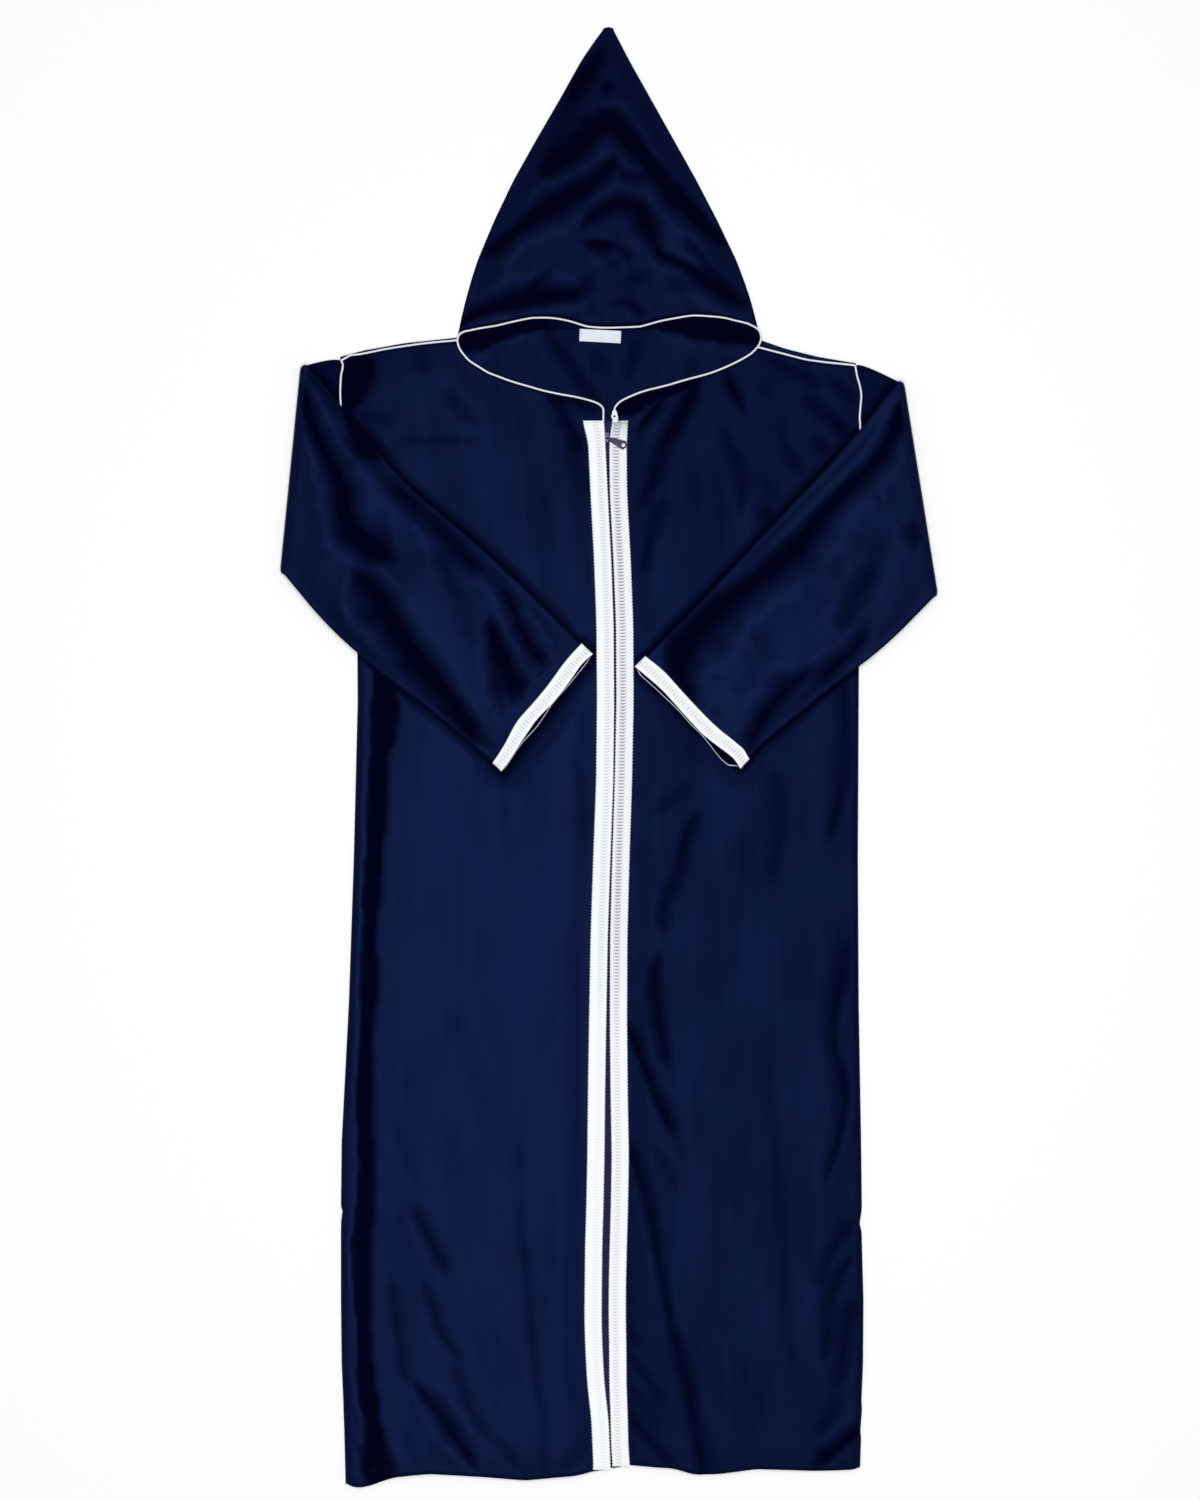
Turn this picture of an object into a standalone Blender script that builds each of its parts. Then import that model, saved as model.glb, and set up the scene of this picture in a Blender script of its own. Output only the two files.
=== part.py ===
"""A hooded djellaba robe, laid flat and face up on a surface, with its sleeves folded in over the front.

Every sewn piece is its own closed solid. The table units below are millimetres. X points to the
side of the wearer's left arm, Y up to the hood's tip and Z up from the surface, and the origin lies
on that surface under the middle of the whole robe.
"""

import math
from collections import namedtuple

import bmesh
import bpy
from mathutils import Vector

MM = 0.001

# Cloth and the air between its layers.
WALL = 1.0
SEAM_GAP = 0.3
NAPE_GAP = 1.2           # the back neck seam is curved, and each side of it is cut straight between points
EDGE_HALF = 1.6          # half the height of a pressed edge where a layer turns back under itself
FRONT_TOP = 4.6          # top of the front panels where nothing lifts or presses them
FRONT_EDGE_TOP = 3.2     # the same at the shoulder and armhole seams
EDGE_REACH = 45.0        # how far from those seams the panel takes to rise to its full height
SIDE_ROLL = 1.6          # how far the front rolls out past the back at the side seams
SIDE_TURN = ((1.1, 2.7), (SIDE_ROLL + SEAM_GAP, 1.9), (SIDE_ROLL + SEAM_GAP, 0.7))  # that roll: reach, height
CALM_BY_BAND = (26.0, 51.0)    # from the zip: no folds before the first, whole folds past the second
CALM_BY_SLEEVE = (25.0, 75.0)  # the same, from the edge of a folded sleeve
CALM_BY_SIDE = 14.0            # and from a side seam
HOOD_LOFTS = (3.5, 8.0)        # the hood's loft by its face edge, and above it
HOOD_LOFT_RISE = (540.0, 60.0) # where it starts to grow, and over what height
HOOD_EDGE_REACH = 60.0         # how far from the hood's sides it takes to rise

# Trims.
PIPING_RADIUS = 1.6
SEAM_PIPING_HEIGHT = FRONT_EDGE_TOP + SEAM_GAP + PIPING_RADIUS   # middle of the cord lying on a seam
NECK_CORD_END = (423.5, 437.0)   # where the neck cord ends beside its band, and where it bends to get there
NECK_CORD_CLEAR = 0.9            # how much wider of the zip it stands there
NECK_MIDDLE = (0.0, 505.0)       # a point inside the neck opening
SHOULDER_CORD_SHORT = 4.5        # how far a shoulder's cord stops short of the neck corner
ARMHOLE_CORD_SHORT = (4.5, 14.0) # and an armhole's, at its top and at its bottom
ARMHOLE_CORD_STEPS = 10
LOOP_WIRE = 0.9
LOOP_SIZE = (3.1, 2.6)   # half width and half height of the little closing loop
LOOP_PLACE = (8.0, 427.5)
LOOP_POINTS = 14
BAND_WIDTH = 21.0
BAND_THICK = 1.5
BAND_TOP = 420.0
BAND_INSET = 0.5         # how far a front's centre edge lies back from the edge of the band that covers it
CUFF_BAND_THICK = 1.2
LABEL_SIZE = (52.0, 15.5, 0.6)
LABEL_PLACE = (-11.0, 526.0)
LABEL_TURN = math.radians(-3.0)

# Zip: two tapes, their closed coil, the slider and its pull tab.
TAPE_WIDTH = 12.6
COIL_WIDTH = 3.6
COIL_THICK = 0.7
ZIP_TOP = 418.0
ZIP_BOTTOM = -862.0
SLIDER_PLACE = (-2.6, 399.5)
SLIDER_WIDTH = 6.2
SLIDER_LENGTH = 12.0
SLIDER_NOSE = 3.6
SLIDER_BOTTOM = 3.6
SLIDER_TOP = 5.9
BAIL_SPAN = 8.4          # between the middles of the two legs of the slider's bail
BAIL_WIRE = 0.6
BAIL_BEND = 0.9
BAIL_HEIGHT = 8.2        # height of the bail's bar, which is the pull tab's hinge axis
EYE_INNER = 0.95
EYE_OUTER = 1.95
EYE_WIDTH = 1.8
EYE_OFFSET = -1.2        # where the eye sits along the bail's bar
ROD_SEGMENTS = 20
TAB_BOTTOM = 6.8
TAB_THICK = 1.2
TAB_LENGTH = 26.7
TAB_WIDTHS = (6.0, 11.4) # by its eye, and by its far end
TAB_HOLE_RADIUS = 2.4
TAB_HOLE_FROM_END = 4.3
TAB_TURN = math.radians(-24.0)

# Folded sleeves.
TURN_RADIUS = 4.8        # radius of the turn-back, at the middle of the sleeve's two layers
SLEEVE_LOW = 6.6         # underside of a folded sleeve where it rests on the front
SETTLE_FROM, SETTLE_TO = 40.0, 150.0   # how far in from the turn it starts, and ends, coming down to that
TURN_STEP = 30           # degrees between the rings of the turn-back

Level = namedtuple("Level", "y left right")
Point = namedtuple("Point", "x y")
Station = namedtuple("Station", "upper_x upper_y lower_x lower_y loft")
Fold = namedtuple("Fold", "x0 y0 x1 y1 reach height")
Sleeve = namedtuple("Sleeve", "name side armhole_top armhole_bottom bow stations folds")

# Hood outline, from its face edge up to the blunt tip.
HOOD_OUTLINE = [
    Level(521, -190, 189), Level(571, -179, 177), Level(621, -164, 159), Level(671, -143, 135),
    Level(721, -119, 109), Level(771, -91, 81), Level(821, -62, 53), Level(871, -34, 25),
    Level(912.5, -9, 4),
]

# Outline of the body below the arms, down both side seams.
SIDE_OUTLINE = [
    Level(221, -315, 313), Level(70, -314, 312), Level(-130, -319, 311), Level(-305, -325, 312),
    Level(-480, -334, 315), Level(-565, -335, 316), Level(-575, -333, 315), Level(-680, -335, 318),
    Level(-805, -332, 315), Level(-915, -329, 313),
]

# Bottom edge of front and back, from side to side.
HEM = [
    Point(-335, -904), Point(-313, -912.5), Point(-268, -899), Point(-224, -895), Point(-155, -899),
    Point(-105, -903), Point(-40, -897), Point(-20, -892), Point(0, -889), Point(26, -884),
    Point(80, -888), Point(108, -896), Point(138, -895), Point(184, -889), Point(254, -891),
    Point(306, -890), Point(320, -884),
]

# The shoulder seams, which lie a little forward of the outline, and that outline itself.
SHOULDER_SEAM_RIGHT = [Point(-335, 496), Point(-324, 501), Point(-268, 512), Point(-190, 521)]
SHOULDER_SEAM_LEFT = [Point(189, 513), Point(243, 496), Point(285, 491), Point(308, 490)]
SHOULDER_TOP_RIGHT = [Point(-336, 500), Point(-306, 508), Point(-256, 517), Point(-190, 524)]
SHOULDER_TOP_LEFT = [Point(189, 521), Point(221, 510), Point(261, 500), Point(308, 492)]

# Neck opening: the hood's face edge above, the two fronts' neckline below.
FACE_EDGE = [
    Point(-190, 521), Point(-174, 533), Point(-144, 538), Point(-114, 545), Point(-84, 549),
    Point(-54, 545), Point(-24, 538), Point(6, 537), Point(36, 537), Point(66, 545), Point(111, 552),
    Point(141, 549), Point(171, 542), Point(189, 521),
]
NECKLINE = [
    Point(-190, 515), Point(-174, 494), Point(-159, 484), Point(-129, 472), Point(-84, 458),
    Point(-40, 449), Point(-24, 445), Point(-12, 438), Point(-7, 430), Point(6, 430), Point(10, 438),
    Point(21, 447), Point(36, 454), Point(81, 467), Point(126, 479), Point(156, 492), Point(171, 501),
    Point(189, 515),
]
NAPE = [Point(-190, 524), Point(-95, 535), Point(0, 538), Point(95, 535), Point(189, 524)]

# Middles of the two braid bands down the front edges.
BAND_LINE = [
    Level(420, -20, 15), Level(396, -15.5, 11), Level(330, -13.5, 11), Level(245, -9, 15.5),
    Level(165, -6, 18.5), Level(70, -5, 19.4), Level(-30, -6, 17), Level(-130, -10, 14),
    Level(-225, -13, 11.5), Level(-330, -15, 11.5), Level(-500, -17, 13), Level(-610, -20, 11),
    Level(-700, -20.2, 9.5), Level(-780, -17, 11.2), Level(-850, -11.5, 13), Level(-888, -9.5, 16),
]

# The largest folds of the two fronts, each a soft ridge or trough from one end to the other.
FRONT_FOLDS = [
    Fold(-285, 40, -299, -250, 16, -1.6),
    Fold(-299, -250, -305, -880, 18, -1.8),
    Fold(-258, 30, -272, -860, 20, 2.6),
    Fold(-125, -60, -82, -860, 26, 1.8),
    Fold(-190, -640, -110, -850, 18, 2.2),
    Fold(40, -520, 108, -880, 18, 2.4),
    Fold(66, -520, 128, -860, 14, -1.2),
    Fold(100, -80, 62, -350, 22, 1.8),
    Fold(214, -500, 232, -760, 20, 2.0),
    Fold(284, -220, 280, -500, 18, 2.2),
]

# The hood's largest folds: they fall from the tip and cross above the face edge.
HOOD_FOLDS = [
    Fold(-5, 830, -110, 700, 16, -3.2),
    Fold(5, 800, 130, 650, 15, -3.0),
    Fold(0, 740, -150, 630, 16, -3.4),
    Fold(30, 690, 150, 570, 18, -3.2),
    Fold(-150, 560, -30, 590, 14, -2.6),
    Fold(-60, 860, -105, 760, 12, 1.6),
]

SLEEVES = [
    Sleeve(
        "sleeve_right", -1, Point(-336, 496), Point(-314, 221), 5.0,
        [
            Station(-385, 490, -411, 228, 1.0), Station(-330, 434, -349, 160, 5.0),
            Station(-261, 346, -280, 101, 7.5), Station(-181, 280, -224, 60, 8.0),
            Station(-126, 231, -180, 24, 7.0), Station(-60, 166, -153, -1, 4.5),
            Station(-33, 139, -143, -8, 3.0), Station(-20.5, 127, -132.5, -18, 2.5),
        ],
        [
            Fold(-375, 410, -285, 262, 18, -3.4), Fold(-300, 200, -165, 30, 20, -3.6),
            Fold(-262, 300, -160, 235, 14, -2.4), Fold(-150, 215, -125, 70, 15, -2.8),
        ],
    ),
    Sleeve(
        "sleeve_left", 1, Point(308.5, 491), Point(312, 209), 5.0,
        [
            Station(368, 470, 411.1, 200, 1.0), Station(298, 389, 345, 138, 5.0),
            Station(206, 292, 289, 96, 7.5), Station(158, 240, 261, 74, 8.0),
            Station(110, 189, 226, 45, 7.0), Station(66, 145, 192, 18, 4.5),
            Station(45, 124, 175, -1, 3.0), Station(33, 112, 163, -14, 2.5),
        ],
        [
            Fold(355, 425, 240, 290, 20, -3.4), Fold(240, 290, 90, 120, 18, -3.4),
            Fold(325, 240, 290, 160, 14, -2.6), Fold(305, 165, 255, 70, 15, -2.8),
        ],
    ),
]

# Where the neckline meets the shoulder seam on each side, by side: -1 the wearer's right, 1 the left.
NECK_CORNER = {-1: -190.0, 1: 189.0}
SHOULDER_SEAM = {-1: SHOULDER_SEAM_RIGHT, 1: SHOULDER_SEAM_LEFT}
SLEEVE = {-1: SLEEVES[0], 1: SLEEVES[1]}
HEM_LEVEL = -890.0

# Columns of a front panel: shares of its neckline, from the zip out, and of its shoulder seam.
NECKLINE_SHARES = [0, 0.1, 0.24, 0.44, 0.66, 0.83, 0.92]
SHOULDER_SHARES = [0, 0.35, 0.66, 0.9, 1]
ARMHOLE_ROWS = 6       # rows of both panels down to the underarm
BODY_ROWS = 13         # and from there to the hem
BACK_NECK_SHARES = [-0.3, 0, 0.3]
HOOD_ROWS = 11
HOOD_ROW_CURVE = 0.92  # under 1 puts the hood's rows closer towards its tip
HOOD_LOWEST = 524.5    # the hood's corners, just above the shoulder seams
HOOD_STEPS = 13
SLEEVE_STEPS = 8

COLOURS = {
    "navy_satin": ((0.004, 0.008, 0.036), 0.42, 0.0),
    "white_cord": ((0.80, 0.83, 0.86), 0.75, 0.0),
    "white_braid": ((0.82, 0.86, 0.88), 0.8, 0.0),
    "label_tape": ((0.72, 0.78, 0.88), 0.6, 0.0),
    "zip_tape": ((0.008, 0.010, 0.030), 0.8, 0.0),
    "zip_coil": ((0.008, 0.010, 0.030), 0.5, 0.0),
    "zip_metal": ((0.16, 0.15, 0.22), 0.4, 0.9),
    "tab_metal": ((0.03, 0.035, 0.06), 0.45, 0.8),
}


# ---------------------------------------------------------------- helpers


def clear_scene():
    for obj in list(bpy.data.objects):
        bpy.data.objects.remove(obj, do_unlink=True)


def smooth(t):
    t = min(max(t, 0.0), 1.0)
    return t * t * (3.0 - 2.0 * t)


def smooth_from(at, start, end):
    """0 up to the start, 1 past the end, and a soft rise between."""
    return smooth((at - start) / (end - start))


def mix(a, b, t):
    return a + (b - a) * t


def along(rows, at, key, value):
    """The value column of a table where its key column is `at`, held level past both ends."""
    pairs = sorted((getattr(row, key), getattr(row, value)) for row in rows)
    if at <= pairs[0][0]:
        return pairs[0][1]
    for (k0, v0), (k1, v1) in zip(pairs, pairs[1:]):
        if at <= k1:
            return mix(v0, v1, (at - k0) / (k1 - k0))
    return pairs[-1][1]


def curve_y(rows, x):
    return along(rows, x, "x", "y")


def fold_relief(folds, x, y):
    """Height that the folds add at a point, fading off both ends and both sides of each."""
    total = 0.0
    for fold in folds:
        run = Vector((fold.x1 - fold.x0, fold.y1 - fold.y0))
        offset = Vector((x - fold.x0, y - fold.y0))
        share = offset.dot(run) / run.length_squared
        near = min(max(share, 0.0), 1.0)
        distance = (offset - run * near).length
        total += fold.height * math.exp(-((distance / fold.reach) ** 2)) * smooth(
            1.0 - abs(2.0 * near - 1.0) * 0.6
        )
    return total


def material(name):
    if name in bpy.data.materials:
        return bpy.data.materials[name]
    colour, roughness, metallic = COLOURS[name]
    made = bpy.data.materials.new(name)
    made.use_nodes = True
    shader = made.node_tree.nodes["Principled BSDF"]
    shader.inputs["Base Color"].default_value = (*colour, 1.0)
    shader.inputs["Roughness"].default_value = roughness
    shader.inputs["Metallic"].default_value = metallic
    return made


def object_from(name, form, finish, smooth_angle=40.0):
    """Turns a bmesh in millimetres into a named object in metres."""
    bmesh.ops.scale(form, vec=(MM, MM, MM), verts=form.verts)
    mesh = bpy.data.meshes.new(name)
    form.to_mesh(mesh)
    form.free()
    mesh.shade_smooth()
    mesh.set_sharp_from_angle(angle=math.radians(smooth_angle))
    mesh.materials.append(material(finish))
    obj = bpy.data.objects.new(name, mesh)
    bpy.context.scene.collection.objects.link(obj)
    return obj


def thicken(obj, thickness):
    """Gives a surface its wall, on the side that its faces turn away from."""
    wall = obj.modifiers.new("wall", "SOLIDIFY")
    wall.thickness = thickness * MM
    wall.offset = -1.0
    wall.use_even_offset = True
    wall.use_quality_normals = True


def grid_form(columns, rows, place):
    """A grid of quads, column by row, each corner put where place(column, row) says."""
    form = bmesh.new()
    corners = [[form.verts.new(place(c, r)) for c in range(columns)] for r in range(rows)]
    for low, high in zip(corners, corners[1:]):
        for c in range(columns - 1):
            form.faces.new((low[c], low[c + 1], high[c + 1], high[c]))
    return form, corners


def face_along(form, direction, chosen=lambda face: True):
    """Turns an open surface's faces one way, the chosen ones towards a direction."""
    bmesh.ops.recalc_face_normals(form, faces=form.faces)
    if sum(face.normal.dot(direction) * face.calc_area() for face in form.faces if chosen(face)) < 0:
        bmesh.ops.reverse_faces(form, faces=form.faces)


def tube_form(rings, closed_end=False):
    """Joins rings of equal count into a tube, and can close its last ring."""
    form = bmesh.new()
    loops = [[form.verts.new(point) for point in ring] for ring in rings]
    for near, far in zip(loops, loops[1:]):
        for i in range(len(near)):
            j = (i + 1) % len(near)
            form.faces.new((near[i], near[j], far[j], far[i]))
    if closed_end:
        form.faces.new(loops[-1])
    bmesh.ops.recalc_face_normals(form, faces=form.faces)
    return form


def flat_ring(width, inner_count, radius=EDGE_HALF):
    """Round a flattened tube: rows of (distance across, half height, side), side 1 for the outer layer."""
    turn = math.radians(45)
    ends = [(radius * (1 - math.cos(turn)), radius * math.sin(turn))]
    step = (width - 2 * radius) / (inner_count - 1)
    middle = [(radius + step * i, radius) for i in range(inner_count)]
    half = ends + middle + [(width - across, high) for across, high in reversed(ends)]
    ring = [(0.0, 0.0, 1)] + [(across, high, 1) for across, high in half]
    ring += [(width, 0.0, 1)] + [(across, high, -1) for across, high in reversed(half)]
    return ring


def cord_object(name, points, radius, finish, cyclic=False):
    """A round cord along the points, given in millimetres."""
    curve = bpy.data.curves.new(name, "CURVE")
    curve.dimensions = "3D"
    curve.bevel_depth = radius * MM
    curve.bevel_resolution = 1
    curve.use_fill_caps = not cyclic
    spline = curve.splines.new("POLY")
    spline.points.add(len(points) - 1)
    for slot, point in zip(spline.points, points):
        slot.co = (*(Vector(point) * MM), 1.0)
    spline.use_cyclic_u = cyclic
    curve.materials.append(material(finish))
    obj = bpy.data.objects.new(name, curve)
    bpy.context.scene.collection.objects.link(obj)
    return obj


def rounded_path(points, step):
    """Points every `step` along a smooth curve through the given plan points."""
    found = []
    padded = [points[0], *points, points[-1]]
    for p0, p1, p2, p3 in zip(padded, padded[1:], padded[2:], padded[3:]):
        count = max(1, round(math.dist(p1, p2) / step))
        for i in range(count):
            t = i / count
            found.append(
                tuple(
                    0.5
                    * (
                        2 * b
                        + (c - a) * t
                        + (2 * a - 5 * b + 4 * c - d) * t**2
                        + (3 * b - a - 3 * c + d) * t**3
                    )
                    for a, b, c, d in zip(p0, p1, p2, p3)
                )
            )
    found.append(tuple(points[-1]))
    return found


# ---------------------------------------------------------------- shared shapes


def armhole_x(sleeve, y):
    """The armhole seam's X at a height: nearly straight, bowed a little outwards."""
    top, bottom = sleeve.armhole_top, sleeve.armhole_bottom
    share = min(max((top.y - y) / (top.y - bottom.y), 0.0), 1.0)
    return mix(top.x, bottom.x, share) + sleeve.side * sleeve.bow * 4 * share * (1 - share)


def side_x(side, y):
    """The body's outer edge at a height, along the armhole and then the side seam."""
    if y > SLEEVE[side].armhole_bottom.y:
        return armhole_x(SLEEVE[side], y)
    return along(SIDE_OUTLINE, y, "y", "left" if side < 0 else "right") - side * SIDE_ROLL


def sleeve_clearance(x, y):
    """0 under a folded sleeve and just beside it, rising to 1 where the front lies free."""
    free = 1.0
    for sleeve in SLEEVES:
        corners = [Vector((s.upper_x, s.upper_y)) for s in sleeve.stations]
        corners += [Vector((s.lower_x, s.lower_y)) for s in reversed(sleeve.stations)]
        point = Vector((x, y))
        inside = False
        nearest = 1e9
        for a, b in zip(corners, corners[1:] + corners[:1]):
            if (a.y > y) != (b.y > y) and x < a.x + (b.x - a.x) * (y - a.y) / (b.y - a.y):
                inside = not inside
            share = min(max((point - a).dot(b - a) / (b - a).length_squared, 0.0), 1.0)
            nearest = min(nearest, (point - a - (b - a) * share).length)
        free = min(free, 0.0 if inside else smooth_from(nearest, *CALM_BY_SLEEVE))
    return free


def band_middle(side, y):
    return along(BAND_LINE, y, "y", "left" if side < 0 else "right")


def zip_middle(y):
    return (band_middle(-1, y) + band_middle(1, y)) / 2


def centre_edge_x(side, y):
    """A front's edge along the zip, hidden under its band."""
    return band_middle(side, min(y, ZIP_TOP)) - side * (BAND_WIDTH / 2 - BAND_INSET)


def front_top(side, x, y):
    """Height of a front panel's top face: its folds, and lower along the shoulder and armhole seams."""
    to_edge = abs(side_x(side, y) - x)
    if not NECK_CORNER[-1] < x < NECK_CORNER[1]:
        to_edge = min(to_edge, max(curve_y(SHOULDER_SEAM[side], x) - y, 0.0))
    base = mix(FRONT_EDGE_TOP, FRONT_TOP, smooth(to_edge / EDGE_REACH))
    clear_of_band = smooth_from(abs(x - zip_middle(y)), *CALM_BY_BAND)
    clear_of_side = smooth(to_edge / CALM_BY_SIDE)
    quiet = clear_of_band * clear_of_side * sleeve_clearance(x, y)
    return base + fold_relief(FRONT_FOLDS, x, y) * quiet


def hood_loft(x, y):
    """How far the hood's front layer stands above its back layer's flat lie."""
    left = along(HOOD_OUTLINE, y, "y", "left")
    right = along(HOOD_OUTLINE, y, "y", "right")
    inset = min(x - left, right - x)
    start, reach = HOOD_LOFT_RISE
    raised = mix(*HOOD_LOFTS, smooth((y - start) / reach)) * smooth(inset / HOOD_EDGE_REACH)
    return max(raised + fold_relief(HOOD_FOLDS, x, y) * smooth(2 * inset / HOOD_EDGE_REACH), 0.0)


def row_y(r, top, underarm, hem):
    """Height of a panel's row: even steps down to the underarm, then even steps to the hem."""
    if r <= ARMHOLE_ROWS:
        return mix(top, underarm, r / ARMHOLE_ROWS)
    return mix(underarm, hem, (r - ARMHOLE_ROWS) / BODY_ROWS)


def front_columns(side):
    """Where a front's columns stand at the top: those along its neckline, then those on its shoulder."""
    inner = centre_edge_x(side, ZIP_TOP)
    corner = NECK_CORNER[side]
    outer = SLEEVE[side].armhole_top.x - side * SEAM_GAP
    neckline = [mix(inner, corner, share) for share in NECKLINE_SHARES]
    shoulder = [mix(corner, outer, share) for share in SHOULDER_SHARES]
    return neckline, shoulder


# ---------------------------------------------------------------- cloth


def make_front(side, name):
    """A front: centre edge under its braid, neckline, shoulder, armhole, side seam and hem."""
    seam = SHOULDER_SEAM[side]
    neckline, shoulder = front_columns(side)
    columns = neckline + shoulder

    def place(c, r):
        share = (columns[c] - columns[0]) / (columns[-1] - columns[0])
        y_top = curve_y(NECKLINE if c < len(neckline) else seam, columns[c]) - SEAM_GAP
        x_low = mix(centre_edge_x(side, HEM_LEVEL), side_x(side, HEM_LEVEL), share)
        y = row_y(r, y_top, SLEEVE[side].armhole_bottom.y, curve_y(HEM, x_low))
        x = mix(centre_edge_x(side, y), side_x(side, y) - side * SEAM_GAP, share)
        return x, y, front_top(side, x, y)

    form, corners = grid_form(len(columns), ARMHOLE_ROWS + BODY_ROWS + 1, place)
    edge = [row[-1] for row in corners[ARMHOLE_ROWS + 1:]]
    for reach, height in SIDE_TURN:
        turned = []
        for vert in edge:
            x = side_x(side, vert.co.y) - side * SEAM_GAP + side * reach
            turned.append(form.verts.new((x, vert.co.y, height)))
        for i in range(len(edge) - 1):
            form.faces.new((edge[i], edge[i + 1], turned[i + 1], turned[i]))
        edge = turned
    face_along(form, Vector((0, 0, 1)))
    thicken(object_from(name, form, "navy_satin"), WALL)


def make_back():
    """The back: one panel flat on the surface, turned over the shoulders to meet the fronts' seams."""
    right = list(reversed(front_columns(-1)[1]))
    left = front_columns(1)[1]
    columns = [*right, *(share * NECK_CORNER[1] for share in BACK_NECK_SHARES), *left]

    def top_y(x):
        if x <= NECK_CORNER[-1]:
            return curve_y(SHOULDER_TOP_RIGHT, x)
        if x >= NECK_CORNER[1]:
            return curve_y(SHOULDER_TOP_LEFT, x)
        return curve_y(NAPE, x) - NAPE_GAP

    def edge_x(side, y):
        return side_x(side, y) - side * SEAM_GAP

    def place(c, r):
        side = -1 if columns[c] < 0 else 1
        sleeve = SLEEVE[side]
        share = columns[c] / edge_x(side, sleeve.armhole_top.y)
        low = curve_y(HEM, share * edge_x(side, HEM_LEVEL))
        y = row_y(r, top_y(columns[c]), sleeve.armhole_bottom.y, low)
        return share * edge_x(side, y), y, 0.0

    form, corners = grid_form(len(columns), ARMHOLE_ROWS + BODY_ROWS + 1, place)
    for side, edge in ((-1, corners[0][:len(right)]), (1, corners[0][-len(left):])):
        outline = [vert.co.copy() for vert in edge]
        for vert, at in zip(edge, outline):
            vert.co.y = at.y - EDGE_HALF
        for angle in (45, 90, 135, 180, None):
            turned = []
            for at in outline:
                if angle is None:
                    y, z = curve_y(SHOULDER_SEAM[side], at.x) + SEAM_GAP, FRONT_EDGE_TOP
                else:
                    a = math.radians(angle)
                    y = at.y - EDGE_HALF + EDGE_HALF * math.sin(a)
                    z = EDGE_HALF * (1 - math.cos(a))
                turned.append(form.verts.new((at.x, y, z)))
            for i in range(len(edge) - 1):
                form.faces.new((edge[i], edge[i + 1], turned[i + 1], turned[i]))
            edge = turned
    face_along(form, Vector((0, 0, -1)), lambda face: face.calc_center_median().z < 0.1)
    thicken(object_from("back_panel", form, "navy_satin"), WALL)


def hood_ring(r):
    """One ring of the hood, from its right edge over the front layer and back under: 0 is the face edge."""
    rise = (r / HOOD_ROWS) ** HOOD_ROW_CURVE
    ring = []
    for across, high, layer in flat_ring(1.0 + 2 * EDGE_HALF, HOOD_STEPS):
        # The ring is one unit wide between its two turned edges, so that unit is the share across.
        share = min(max(across - EDGE_HALF, 0.0), 1.0)
        x_edge = mix(NECK_CORNER[-1] + 2, NECK_CORNER[1] - 2, share)
        if layer > 0:
            y_edge = curve_y(FACE_EDGE, x_edge) + PIPING_RADIUS
        else:
            y_edge = curve_y(NAPE, x_edge) + SEAM_GAP
        y = mix(max(y_edge, HOOD_LOWEST), HOOD_OUTLINE[-1].y, rise)
        left = along(HOOD_OUTLINE, y, "y", "left") + EDGE_HALF
        right = along(HOOD_OUTLINE, y, "y", "right") - EDGE_HALF
        x = mix(left, right, share) + (across - EDGE_HALF - share)
        z = EDGE_HALF + high * layer
        if layer > 0 and high == EDGE_HALF:
            z += hood_loft(x, y)
        ring.append((x, y, z))
    return ring


def make_hood():
    """The hood: a flattened pointed tube, open at the face and nape and closed at its tip."""
    form = tube_form([hood_ring(r) for r in range(HOOD_ROWS + 1)], closed_end=True)
    thicken(object_from("hood", form, "navy_satin"), WALL)


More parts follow.
